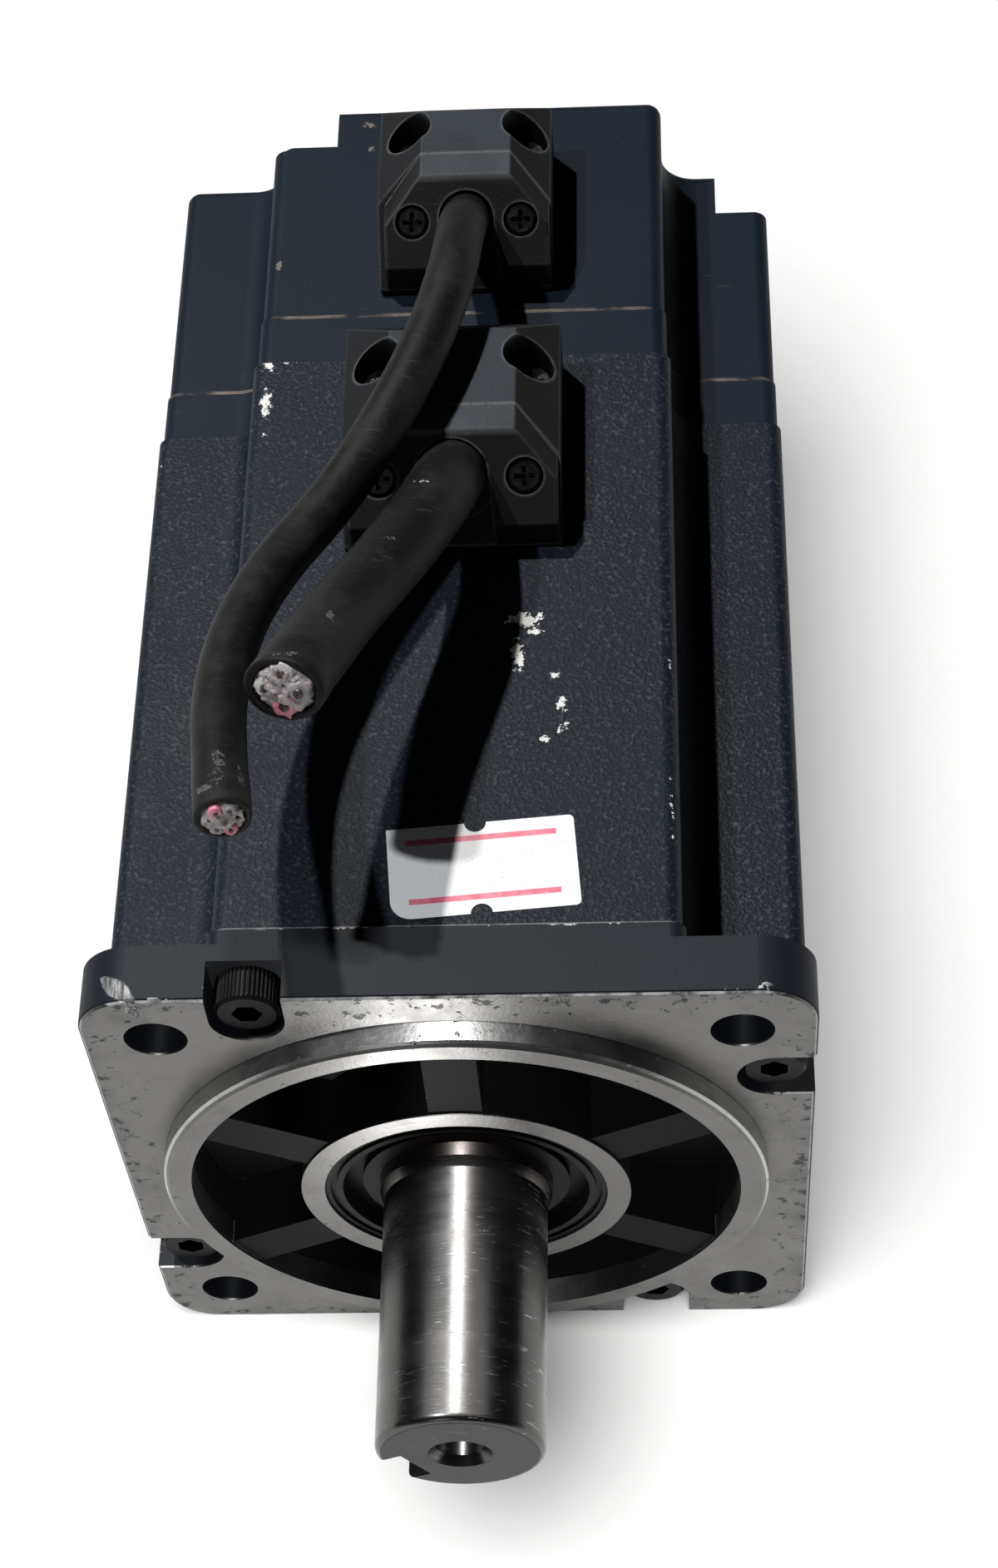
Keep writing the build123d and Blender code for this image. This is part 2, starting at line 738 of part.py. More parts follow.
def rotor_magnets():
    """Curved magnets around the rotor core."""
    outline = (Circle(magnet_radius) - Circle(rotor_core_radius)) & wedge(2 * magnet_radius, magnet_angle)
    return Compound(children=around(slab(outline, core_front, core_back), magnet_count))


def encoder_hub():
    """Hub on the shaft's stub that carries the encoder disc."""
    front = bracket_back + encoder_hub_gap
    flange_front = encoder_flange_back - encoder_flange_thickness
    cap_back = stub_end + encoder_cap_thickness
    bore = stub_radius + fit_gap
    hole = hub_screw_thread + screw_gap
    return turned(
        (bore, front), (encoder_hub_radius, front), (encoder_hub_radius, flange_front),
        (encoder_flange_radius, flange_front), (encoder_flange_radius, encoder_flange_back),
        (encoder_hub_radius, encoder_flange_back), (encoder_hub_radius, cap_back), (hole, cap_back),
        (hole, stub_end), (bore, stub_end))


def encoder_hub_screw():
    """Screw that holds the encoder hub on the shaft."""
    one = screw(hub_screw_thread, hub_screw_length, hub_screw_head, hub_screw_head_height,
                hexagon(hub_screw_hex))
    return seat(0, stub_end + encoder_cap_thickness, 0, rearward) * one


def encoder_board():
    """Round circuit board on the standoffs."""
    body = rod(encoder_board_radius, encoder_board_front, encoder_board_back)
    hole = rod(board_screw_thread + screw_gap, encoder_board_front, encoder_board_back, 0, standoff_circle)
    for cut in around(hole, standoff_count, standoff_angle):
        body -= cut
    return body


def encoder_board_screws():
    """Three small screws that hold the board."""
    one = screw(board_screw_thread, board_screw_length, board_screw_head, board_screw_head_height,
                hexagon(board_screw_hex))
    placed = seat(0, encoder_board_back, standoff_circle, rearward) * one
    return Compound(children=around(placed, standoff_count, standoff_angle))


def slope_frame(cover, depth=0.0):
    """Frame on the cable's axis at a depth behind a cover's sloping face; z points out."""
    face = seat(cover.clamp_x, cover.front + arch_rise, slope_foot + arch_rise, outward)
    return face.offset(-depth)


def cover_window(cover, bottom):
    """Opening for the leads in the wall under a cable cover."""
    return block(cover.clamp_x - cover.window_half, cover.clamp_x + cover.window_half,
                 cover.window_front, cover.window_back, bottom, cover.seat)


def cover_threads(cover):
    """Blind holes for the cover's screws."""
    depth = cover_screw_grip + screw_gap
    hole = extrude(Circle(cover.screw_thread + thread_gap), depth)
    return [Pos(cover.clamp_x + side * cover.screw_x, cover.screw_y, cover.seat - depth) * hole
            for side in (-1, 1)]


def cover_shell(cover, centre, half_width):
    """Outer form of a cable cover: sloping front, flat top and bevelled sides and back."""
    bottom = cover.seat + gasket_thickness
    side = make_face(Polyline(
        (cover.front, bottom), (cover.front, slope_foot), (cover.front + slope_run, cover_top),
        (cover.back - rear_drop, cover_top), (cover.back, cover_top - rear_drop), (cover.back, bottom),
        close=True))
    across = make_face(Polyline(
        (centre - half_width, bottom), (centre - half_width, cover_top - side_drop),
        (cover.clamp_x - cover.plateau, cover_top), (cover.clamp_x + cover.plateau, cover_top),
        (centre + half_width, cover_top - side_drop), (centre + half_width, bottom), close=True))
    body = slab(across, cover.front, cover.back) & extrude(Plane.YZ * side, flange_side, both=True)
    edges = body.edges().filter_by(lambda edge: edge.center().Z > bottom + cover_round)
    return fillet(edges, cover_round)


def cover_base(cover):
    """Rear part of a cable cover, screwed down on the motor."""
    bottom = cover.seat + gasket_thickness
    split_plane = slope_frame(cover, clamp_thickness)
    shell = cover_shell(cover, cover.base_x, cover.half_width)
    body = split(shell, bisect_by=split_plane, keep=Keep.BOTTOM)
    chamber_front = cover.front + arch_rise + clamp_leg + bush_depth
    body -= block(cover.clamp_x - cover.chamber_half, cover.clamp_x + cover.chamber_half, chamber_front,
                  cover.window_back, bottom, chamber_top)
    body -= slope_frame(cover, clamp_thickness + bush_depth) * extrude(Circle(cover.bush), bush_depth)
    body -= slope_frame(cover, clamp_thickness + passage_depth) * extrude(Circle(cover.passage),
                                                                          passage_depth)
    thread_depth = clamp_pocket_depth + clamp_screw_length + screw_gap
    for side in (-1, 1):
        pocket = extrude(Circle(cover.screw_pocket), cover_top - cover_screw_seat)
        body -= Pos(cover.clamp_x + side * cover.screw_x, cover.screw_y, cover_screw_seat) * pocket
        hole = extrude(Circle(cover.screw_thread + screw_gap), cover_screw_seat - bottom)
        body -= Pos(cover.clamp_x + side * cover.screw_x, cover.screw_y, bottom) * hole
        thread = Pos(side * cover.clamp_screw_x, -clamp_screw_drop) * Circle(
            clamp_screw_thread + thread_gap)
        body -= slope_frame(cover, thread_depth) * extrude(thread, thread_depth)
    return body


def cable_clamp(cover):
    """Front part of a cable cover, with the U-shaped slot that holds the cable."""
    shell = cover_shell(cover, cover.clamp_x, cover.clamp_half)
    body = split(shell, bisect_by=slope_frame(cover, clamp_thickness), keep=Keep.TOP)
    arch = cover.cable + cover.slot_gap
    foot = arch + slot_flare
    throat = Circle(arch) + make_face(Polyline((-arch, 0), (-foot, -slot_reach), (foot, -slot_reach),
                                               (arch, 0), close=True))
    body -= slope_frame(cover, clamp_thickness) * extrude(throat, 2 * clamp_thickness)
    for side in (-1, 1):
        place = Pos(side * cover.clamp_screw_x, -clamp_screw_drop)
        pocket = extrude(place * Circle(cover.clamp_pocket), 2 * clamp_pocket_depth)
        body -= slope_frame(cover, clamp_pocket_depth) * pocket
        hole = extrude(place * Circle(clamp_screw_thread + screw_gap), clamp_thickness)
        body -= slope_frame(cover, clamp_thickness) * hole
    return body


def cover_gasket(cover):
    """Flat gasket under a cable cover."""
    half = cover.half_width - gasket_inset
    bottom = cover.seat
    body = block(cover.base_x - half, cover.base_x + half, cover.front + gasket_inset,
                 cover.back - gasket_inset, bottom, bottom + gasket_thickness)
    body -= block(cover.clamp_x - cover.window_half, cover.clamp_x + cover.window_half,
                  cover.window_front, cover.window_back, bottom, bottom + gasket_thickness)
    hole = extrude(Circle(cover.screw_thread + screw_gap), gasket_thickness)
    for side in (-1, 1):
        body -= Pos(cover.clamp_x + side * cover.screw_x, cover.screw_y, bottom) * hole
    return body


def clamp_screws(cover):
    """Two cross-recessed screws, square to the sloping face."""
    one = screw(clamp_screw_thread, clamp_screw_length, cover.clamp_head, clamp_screw_head_height,
                cross(cover.clamp_head))
    frame = slope_frame(cover, clamp_pocket_depth)
    return Compound(children=[
        frame * (Pos(side * cover.clamp_screw_x, -clamp_screw_drop) * one) for side in (-1, 1)])


def cover_screws(cover):
    """Two cross-recessed screws that hold a cable cover down."""
    length = cover_screw_seat - cover.seat + cover_screw_grip
    one = screw(cover.screw_thread, length, cover.screw_head, cover_screw_head_height,
                cross(cover.screw_head))
    return Compound(children=[
        Pos(cover.clamp_x + side * cover.screw_x, cover.screw_y, cover_screw_seat) * one
        for side in (-1, 1)])


def cable_bush(cover):
    """Rubber bush behind the clamp that closes the cable's entry."""
    return slope_frame(cover, clamp_thickness + bush_depth) * extrude(Circle(cover.bush), bush_depth)


def placed_route(cover, route):
    """Points of a cable's route, kept with the clamp that the cable leaves."""
    start = slope_frame(cover, clamp_thickness).origin
    return [start + Vector(*point) - Vector(*route[0]) for point in route]


def bend_radii(route):
    """Bend radius for each corner of a cable's route."""
    radii = []
    for before, corner, after in zip(route, route[1:], route[2:]):
        arriving = corner - before
        leaving = after - corner
        half_turn = math.radians(arriving.get_angle(leaving) / 2)
        radii.append(bend_share * min(arriving.length, leaving.length) / math.tan(half_turn))
    return radii


def swept(outline, points, radii):
    """Outline drawn along a route of straight runs and tangent arcs."""
    path = FilletPolyline(*points, radius=radii)
    return sweep(Plane(origin=path @ 0, z_dir=path % 0) * outline, path=path)


def cable_jacket(cover, route):
    """Outer jacket of a cable."""
    outline = Circle(cover.cable) - Circle(cover.cable - cover.jacket_wall)
    return swept(outline, route, bend_radii(route))


def cable_cores(cover, route):
    """Insulated cores inside a cable's jacket."""
    radii = bend_radii(route)
    places = list(PolarLocations(cover.core_circle, cover.core_count)) + [Pos(0, 0)] * cover.centre_core
    return Compound(children=[swept(place * Circle(cover.core), route, radii) for place in places])


def cover_leads(cover):
    """Leads from the bush down to the terminals inside the motor."""
    start = slope_frame(cover, clamp_thickness + bush_depth).origin
    drop = start.Z - lead_z
    bends = [cover.lead, 3 * cover.lead]
    wires = []
    for k in range(lead_count):
        x = cover.clamp_x + (k - (lead_count - 1) / 2) * cover.lead_pitch
        points = [(x, start.Y, start.Z), (x, start.Y + drop, lead_z), (x, cover.lead_y, lead_z),
                  (x, cover.lead_y, cover.lead_end)]
        wires.append(swept(Circle(cover.lead), points, bends))
    return Compound(children=wires)


def label():
    """Blank label with two half-round notches and one lifted corner."""
    outline = Rectangle(label_width, label_height)
    lifted = outline.vertices().sort_by(lambda v: v.X + v.Y)[:1]
    outline = fillet(lifted, label_lifted_corner)
    corners = outline.vertices().filter_by(lambda v: v.X + v.Y > 0 or v.X > v.Y + label_height)
    outline = fillet(corners, label_corner)
    for side in (-1, 1):
        outline -= Pos(label_notch_x, side * label_height / 2) * Circle(label_notch_radius)
    place = Pos(label_x, label_y, housing_half) * Rot(0, 0, label_turn)
    return place * extrude(outline, label_thickness)


parts = {
    "front_bracket": front_bracket(),
    "flange_screws": flange_screws(),
    "oil_seal": oil_seal(),
    "front_bearing_outer_ring": bearing_outer(front_bearing),
    "front_bearing_inner_ring": bearing_inner(front_bearing),
    "front_bearing_balls": Compound(children=bearing_balls(front_bearing)),
    "front_bearing_cage": bearing_cage(front_bearing),
    "front_bearing_snap_ring": snap_ring(),
    "rear_bearing_outer_ring": bearing_outer(rear_bearing),
    "rear_bearing_inner_ring": bearing_inner(rear_bearing),
    "rear_bearing_balls": Compound(children=bearing_balls(rear_bearing)),
    "rear_bearing_cage": bearing_cage(rear_bearing),
    "rear_bearing_wave_spring": wave_spring(),
    "stator_housing": stator_housing(),
    "stator_core": stator_core(),
    "slot_insulators": slot_insulators(),
    "stator_coils": stator_coils(),
    "coil_board": ring(coil_board_inner, coil_board_outer, coil_board_front, coil_board_back),
    "coil_terminal_block": block(-terminal_half_width, terminal_half_width, coil_board_back,
                                 coil_board_back + terminal_depth, terminal_bottom, terminal_top),
    "shaft": shaft(),
    "rotor_core": ring(rotor_seat_radius + fit_gap, rotor_core_radius, core_front, core_back),
    "rotor_magnets": rotor_magnets(),
    "rotor_sleeve": ring(magnet_radius + fit_gap, sleeve_radius, core_front - sleeve_overhang,
                         core_back + sleeve_overhang),
    "rear_bracket": rear_bracket(),
    "rear_bracket_screws": rear_bracket_screws(),
    "encoder_hub": encoder_hub(),
    "encoder_hub_screw": encoder_hub_screw(),
    "encoder_disc": ring(encoder_hub_radius + fit_gap, disc_radius, encoder_flange_back,
                         encoder_flange_back + disc_thickness),
    "encoder_board": encoder_board(),
    "encoder_board_screws": encoder_board_screws(),
    "encoder_reading_head": block(-reading_half_width, reading_half_width,
                                  encoder_flange_back + disc_thickness + reading_gap,
                                  encoder_board_front, reading_bottom, reading_top),
    "encoder_connector": block(encoder.clamp_x - connector_half_width,
                               encoder.clamp_x + connector_half_width, encoder_board_back,
                               encoder_board_back + connector_depth, connector_bottom, connector_top),
    "rear_cover_seal": ring(face_seal_inner + fit_gap, face_seal_outer - fit_gap,
                            bracket_back - face_seal_depth, bracket_back),
    "rear_cover": rear_cover(),
    "rear_cover_screws": rear_cover_screws(),
    "label": label(),
}
for name, cover, points in (("power", power, power_route), ("encoder", encoder, encoder_route)):
    route = placed_route(cover, points)
    parts[f"{name}_cover_base"] = cover_base(cover)
    parts[f"{name}_cover_gasket"] = cover_gasket(cover)
    parts[f"{name}_cover_screws"] = cover_screws(cover)
    parts[f"{name}_cable_clamp"] = cable_clamp(cover)
    parts[f"{name}_clamp_screws"] = clamp_screws(cover)
    parts[f"{name}_cable_bush"] = cable_bush(cover)
    parts[f"{name}_leads"] = cover_leads(cover)
    parts[f"{name}_cable"] = cable_jacket(cover, route)
    parts[f"{name}_cable_cores"] = cable_cores(cover, route)
    print(name, "bend radii", [round(radius, 1) for radius in bend_radii(route)])

os.makedirs("parts", exist_ok=True)
for name, shape in parts.items():
    export_step(shape, f"parts/{name}.step")
    print(name, round(shape.volume, 1))
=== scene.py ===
import json
import math
import bmesh
import bpy
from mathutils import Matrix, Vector, noise as noiseField

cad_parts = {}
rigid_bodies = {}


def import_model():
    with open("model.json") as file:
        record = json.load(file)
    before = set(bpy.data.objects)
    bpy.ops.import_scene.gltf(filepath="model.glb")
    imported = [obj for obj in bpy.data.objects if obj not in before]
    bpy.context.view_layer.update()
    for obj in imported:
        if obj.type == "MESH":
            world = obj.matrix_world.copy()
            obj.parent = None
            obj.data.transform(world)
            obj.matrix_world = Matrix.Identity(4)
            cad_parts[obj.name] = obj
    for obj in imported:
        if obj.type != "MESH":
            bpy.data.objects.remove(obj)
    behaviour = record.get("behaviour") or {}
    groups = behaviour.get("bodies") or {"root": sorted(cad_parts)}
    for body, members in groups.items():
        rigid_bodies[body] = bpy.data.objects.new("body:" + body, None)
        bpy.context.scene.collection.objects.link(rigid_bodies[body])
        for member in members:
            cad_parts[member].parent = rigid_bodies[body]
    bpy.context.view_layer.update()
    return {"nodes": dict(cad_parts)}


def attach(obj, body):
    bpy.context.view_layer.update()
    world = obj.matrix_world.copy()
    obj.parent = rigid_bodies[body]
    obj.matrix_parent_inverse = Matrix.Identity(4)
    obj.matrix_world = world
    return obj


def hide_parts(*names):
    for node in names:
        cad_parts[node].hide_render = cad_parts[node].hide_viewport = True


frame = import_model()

mm = 0.001


# small helpers for node trees
def feed(tree, socket, value):
    if isinstance(value, bpy.types.NodeSocket):
        tree.links.new(value, socket)
    else:
        socket.default_value = value


def addNode(tree, kind, inputs=None, **settings):
    node = tree.nodes.new(kind)
    for name, value in settings.items():
        setattr(node, name, value)
    for name, value in (inputs or {}).items():
        feed(tree, node.inputs[name], value)
    return node


def calc(tree, operation, *values):
    node = tree.nodes.new("ShaderNodeMath")
    node.operation = operation
    for socket, value in zip(node.inputs, values):
        feed(tree, socket, value)
    return node.outputs[0]


def fade(tree, value, low, high, start=0.0, end=1.0):
    node = tree.nodes.new("ShaderNodeMapRange")
    for socket, number in zip(node.inputs, (value, low, high, start, end)):
        feed(tree, socket, number)
    return node.outputs[0]


def times(tree, first, second):
    return calc(tree, "MULTIPLY", first, second)


def plus(tree, first, second):
    return calc(tree, "ADD", first, second)


def minus(tree, first, second):
    return calc(tree, "SUBTRACT", first, second)


def larger(tree, first, second):
    return calc(tree, "MAXIMUM", first, second)


def above(tree, value, limit):
    return calc(tree, "GREATER_THAN", value, limit)


def below(tree, value, limit):
    return calc(tree, "LESS_THAN", value, limit)


def size(tree, value):
    return calc(tree, "ABSOLUTE", value)


def mixColour(tree, amount, first, second):
    node = addNode(tree, "ShaderNodeMix", data_type="RGBA")
    for place, value in ((0, amount), (6, first), (7, second)):
        if isinstance(value, tuple):
            value += (1.0,)
        feed(tree, node.inputs[place], value)
    return node.outputs[2]


def noise(tree, coords, scale, detail=2.0, roughness=0.5):
    node = addNode(tree, "ShaderNodeTexNoise",
                   {"Vector": coords, "Scale": scale, "Detail": detail, "Roughness": roughness})
    return node.outputs["Fac"]


def axes(tree, coords):
    return addNode(tree, "ShaderNodeSeparateXYZ", {"Vector": coords}).outputs


def stretched(tree, coords, scale, turn=(0.0, 0.0, 0.0), shift=(0.0, 0.0, 0.0)):
    return addNode(tree, "ShaderNodeMapping", {"Vector": coords, "Location": shift, "Rotation": turn,
                                               "Scale": scale}).outputs[0]


def turnedAbout(tree, coords, centre, degrees):  # axes of a frame round a centre in mm, turned about Z
    angle = math.radians(degrees)
    x, y, z = (part * mm for part in centre)
    shift = (-(x * math.cos(angle) + y * math.sin(angle)), x * math.sin(angle) - y * math.cos(angle), -z)
    return axes(tree, stretched(tree, coords, (1.0, 1.0, 1.0), (0.0, 0.0, -angle), shift))


def grey(level):
    return (level, level, level)


# shader groups: shared effects with named sockets
def startGroup(name, inputs, outputs):
    group = bpy.data.node_groups.new(name, "ShaderNodeTree")
    for label, kind, value in inputs:
        socket = group.interface.new_socket(label, in_out="INPUT", socket_type=kind)
        if value is not None:
            socket.default_value = value
    for label in outputs:
        group.interface.new_socket(label, in_out="OUTPUT", socket_type="NodeSocketFloat")
    return group, group.nodes.new("NodeGroupInput").outputs, group.nodes.new("NodeGroupOutput").inputs


# how the shared effects fade; a mask starts at its limit less a share of its amount
wearShape = {"turn": (0.01, 0.16), "limit": 0.95, "share": 0.65, "soft": 0.08}
grainShape = {"fine": 0.7, "cells": 0.4, "specks": 0.3, "speckScale": 2.3, "tone": (0.3, 0.7)}
chipShape = {
    "near": (0.15, 1.0), "reach": 0.02, "specks": 2200.0, "patches": 750.0, "speckShare": 0.4,
    "nearShare": 0.22, "limit": 0.86, "share": 0.26, "soft": 0.03,
}
scratchShape = {
    "stretch": (1.0, 14.0, 1.0), "patches": 90.0, "patchLimits": (0.42, 0.6), "limit": 0.82, "share": 0.2,
    "soft": 0.03,
}


def softLimit(tree, value, amount, shape):
    limit = minus(tree, shape["limit"], times(tree, amount, shape["share"]))
    return fade(tree, value, limit, plus(tree, limit, shape["soft"]))


def makeEdgeWear():  # mask of worn edges, from the turn of the surface within a radius
    group, given, result = startGroup("edgeWear", (
        ("Vector", "NodeSocketVector", None), ("Radius", "NodeSocketFloat", 0.0005),
        ("Amount", "NodeSocketFloat", 0.5), ("Scale", "NodeSocketFloat", 600.0)), ("Mask",))
    soft = addNode(group, "ShaderNodeBevel", {"Radius": given["Radius"]}, samples=4).outputs[0]
    sharp = group.nodes.new("ShaderNodeNewGeometry").outputs["Normal"]
    turn = addNode(group, "ShaderNodeVectorMath", operation="DOT_PRODUCT")
    group.links.new(soft, turn.inputs[0])
    group.links.new(sharp, turn.inputs[1])
    edge = fade(group, minus(group, 1.0, turn.outputs["Value"]), *wearShape["turn"])
    broken = noise(group, given["Vector"], given["Scale"], 4.0, 0.65)
    feed(group, result["Mask"], times(group, edge, softLimit(group, broken, given["Amount"], wearShape)))
    return group


def makeGrain():  # fine cast or moulded grain: a height and a slow tone change
    group, given, result = startGroup("grain", (
        ("Vector", "NodeSocketVector", None), ("Scale", "NodeSocketFloat", 1800.0),
        ("Coarse", "NodeSocketFloat", 60.0)), ("Height", "Tone"))
    fine = noise(group, given["Vector"], given["Scale"], 2.0, 0.5)
    cells = addNode(group, "ShaderNodeTexVoronoi", {"Vector": given["Vector"], "Scale": given["Scale"]},
                    feature="SMOOTH_F1").outputs["Distance"]
    speckScale = times(group, given["Scale"], grainShape["speckScale"])
    speck = noise(group, given["Vector"], speckScale, 1.0, 0.5)
    raised = plus(group, times(group, cells, grainShape["cells"]), times(group, speck, grainShape["specks"]))
    slow = noise(group, given["Vector"], given["Coarse"], 5.0, 0.6)
    feed(group, result["Height"], plus(group, times(group, fine, grainShape["fine"]), raised))
    feed(group, result["Tone"], fade(group, slow, *grainShape["tone"]))
    return group


def makeChip():  # one ragged chip round a point, with crumbs at its rim
    group, given, result = startGroup("chip", (
        ("Vector", "NodeSocketVector", None), ("Centre", "NodeSocketVector", None),
        ("Reach", "NodeSocketVector", (0.002, 0.002, 0.002)), ("Amount", "NodeSocketFloat", 0.5)), ("Mask",))
    away = addNode(group, "ShaderNodeVectorMath", operation="SUBTRACT")
    feed(group, away.inputs[0], given["Vector"])
    feed(group, away.inputs[1], given["Centre"])
    share = addNode(group, "ShaderNodeVectorMath", operation="DIVIDE")
    feed(group, share.inputs[0], away.outputs[0])
    feed(group, share.inputs[1], given["Reach"])
    length = addNode(group, "ShaderNodeVectorMath", {0: share.outputs[0]}, operation="LENGTH")
    near = fade(group, length.outputs["Value"], *chipShape["near"], 1.0, 0.0)
    speck = noise(group, given["Vector"], chipShape["specks"], 2.0, 0.6)
    patch = noise(group, given["Vector"], chipShape["patches"], 3.0, 0.65)
    mixed = plus(group, times(group, speck, chipShape["speckShare"]),
                 times(group, patch, 1.0 - chipShape["speckShare"]))
    worn = plus(group, mixed, times(group, near, chipShape["nearShare"]))
    inReach = above(group, near, chipShape["reach"])
    feed(group, result["Mask"], times(group, inReach, softLimit(group, worn, given["Amount"], chipShape)))
    return group


def makeScratch():  # long fine scratches along one way
    group, given, result = startGroup("scratch", (
        ("Vector", "NodeSocketVector", None), ("Turn", "NodeSocketVector", None),
        ("Scale", "NodeSocketFloat", 300.0), ("Amount", "NodeSocketFloat", 0.5)), ("Mask",))
    turned = addNode(group, "ShaderNodeMapping", {"Vector": given["Vector"], "Rotation": given["Turn"],
                                                  "Scale": scratchShape["stretch"]}).outputs[0]
    thin = noise(group, turned, given["Scale"], 2.0, 0.4)
    wide = noise(group, given["Vector"], scratchShape["patches"], 2.0, 0.5)
    line = softLimit(group, thin, given["Amount"], scratchShape)
    feed(group, result["Mask"], times(group, line, fade(group, wide, *scratchShape["patchLimits"])))
    return group


edgeWear = makeEdgeWear()
grain = makeGrain()
chip = makeChip()
scratch = makeScratch()


def effect(tree, group, coords, **values):
    node = addNode(tree, "ShaderNodeGroup")
    node.node_tree = group
    feed(tree, node.inputs["Vector"], coords)
    for name, value in values.items():
        feed(tree, node.inputs[name], value)
    return node.outputs


def startMaterial(name, **fixed):
    material = bpy.data.materials.new(name)
    material.use_nodes = True
    tree = material.node_tree
    shader = tree.nodes["Principled BSDF"]
    for socket, value in fixed.items():
        shader.inputs[socket.replace("_", " ")].default_value = value
    coords = tree.nodes.new("ShaderNodeTexCoord").outputs["Object"]
    return material, tree, shader, coords


def colourIt(tree, shader, colour):
    feed(tree, shader.inputs["Base Color"], colour)


def roughen(tree, shader, mask, span):  # roughness between two values, by a mask
    feed(tree, shader.inputs["Roughness"], fade(tree, mask, 0.0, 1.0, *span))


def bump(tree, shader, height, depth):
    node = addNode(tree, "ShaderNodeBump", {"Height": height, "Distance": depth})
    feed(tree, shader.inputs["Normal"], node.outputs[0])


def chipMasks(tree, coords, chips):
    mask = 0.0
    for x, y, z, wide, long, amount in chips:
        one = effect(tree, chip, coords, Centre=(x * mm, y * mm, z * mm),
                     Reach=(wide * mm, long * mm, wide * mm), Amount=amount)["Mask"]
        mask = larger(tree, mask, one)
    return mask


def bareSpots(tree, coords, spec):  # worn edges and chips
    worn = effect(tree, edgeWear, coords, **spec["wear"])["Mask"]
    return larger(tree, worn, chipMasks(tree, coords, spec["chips"]))


def seamLine(tree, coords, spec):  # a narrow line round the body
    away = size(tree, minus(tree, axes(tree, coords)[1], spec["seam"] * mm))
    return below(tree, away, spec["seamWidth"] * mm)


print("effects ready")

# dark textured paint of the stator housing; a chip is its place, width, length and strength
housingPaint = {
    "colour": (0.0040, 0.0074, 0.0134), "paler": (0.0064, 0.0108, 0.0182), "paintedGlintColour": (0.046, 0.052, 0.058),
    "paintedGlintHeights": (0.72, 0.92), "grain": {"Scale": 2300.0, "Coarse": 45.0}, "grainDepth": 0.00011,
    "chipColour": (0.72, 0.71, 0.68), "chipDepth": 0.5, "roughness": (0.47, 0.60),
    "wear": {"Radius": 0.0005, "Amount": 0.36, "Scale": 500.0},
    "seam": 9.0, "seamWidth": 0.4, "seamColour": (0.17, 0.17, 0.17), "seamBreaks": 260.0,
    "chips": (
        (7.9, 50.3, 39.3, 2.7, 1.5, 1.0), (10.0, 50.6, 39.3, 1.0, 1.1, 0.95),
        (9.3, 48.6, 39.3, 1.3, 0.9, 0.8), (7.5, 45.6, 39.3, 1.2, 3.2, 1.0),
        (11.9, 42.2, 39.3, 1.4, 0.7, 0.85), (12.5, 38.2, 39.3, 1.1, 2.2, 0.80),
        (12.7, 35.0, 39.3, 1.1, 1.6, 0.80), (10.6, 33.6, 39.3, 1.1, 1.2, 0.74),
        (-23.7, 89.9, 39.3, 1.6, 1.8, 0.78), (-23.5, 83.6, 39.3, 1.1, 3.8, 0.80),
        (-23.5, 79.2, 39.3, 1.0, 1.3, 0.82), (-21.3, 90.5, 39.3, 1.5, 0.7, 0.76),
        (7.2, 8.9, 39.3, 1.0, 0.7, 0.80), (16.2, 8.8, 39.3, 1.2, 0.6, 0.78),
        (24.9, 47.0, 39.3, 0.45, 9.0, 0.84), (24.85, 25.0, 39.3, 0.45, 12.0, 0.88),
        (-39.0, 86.2, 25.5, 1.0, 1.6, 0.55), (-25.6, 62.0, 38.8, 0.4, 12.0, 0.50),
    ),
}


def makeHousingPaint(spec):
    material, tree, shader, coords = startMaterial("housingPaint", Specular_IOR_Level=0.155)
    height, tone = effect(tree, grain, coords, **spec["grain"])
    paint = mixColour(tree, tone, spec["colour"], spec["paler"])
    paintedGlints = fade(tree, height, *spec["paintedGlintHeights"])  # painted glints: the tops of the grain are made paler, standing in for light glinting off them
    paint = mixColour(tree, paintedGlints, paint, spec["paintedGlintColour"])
    rubbed = fade(tree, noise(tree, coords, spec["seamBreaks"], 4.0, 0.65), 0.36, 0.56, 0.45, 1.0)
    paint = mixColour(tree, times(tree, seamLine(tree, coords, spec), rubbed), paint, spec["seamColour"])
    bare = bareSpots(tree, coords, spec)
    colourIt(tree, shader, mixColour(tree, bare, paint, spec["chipColour"]))
    roughen(tree, shader, tone, spec["roughness"])
    bump(tree, shader, minus(tree, height, times(tree, bare, spec["chipDepth"])), spec["grainDepth"])
    return material


# smooth satin paint of the rear bracket and the rear cover
smoothPaint = {
    "colour": (0.0049, 0.0092, 0.0160), "paler": (0.0073, 0.0124, 0.0205), "chipColour": (0.16, 0.13, 0.11),
    "grain": {"Scale": 2600.0, "Coarse": 30.0}, "grainDepth": 0.00003, "roughness": (0.48, 0.60),
    "wear": {"Radius": 0.0005, "Amount": 0.3, "Scale": 450.0}, "scuff": 0.12, "scuffShare": 0.35,
    "scuffs": {"Turn": (0.0, 0.0, 0.5), "Scale": 260.0, "Amount": 0.35},
    "seam": 98.3, "seamWidth": 0.35, "seamBreaks": 130.0,
    "chips": ((-12.8, 131.8, 38.7, 1.7, 1.3, 0.66), (-12.6, 127.3, 38.7, 1.9, 1.1, 0.62),
              (-23.3, 107.2, 38.7, 0.8, 2.6, 0.55), (-24.6, 117.0, 38.5, 0.7, 2.0, 0.55)),
}


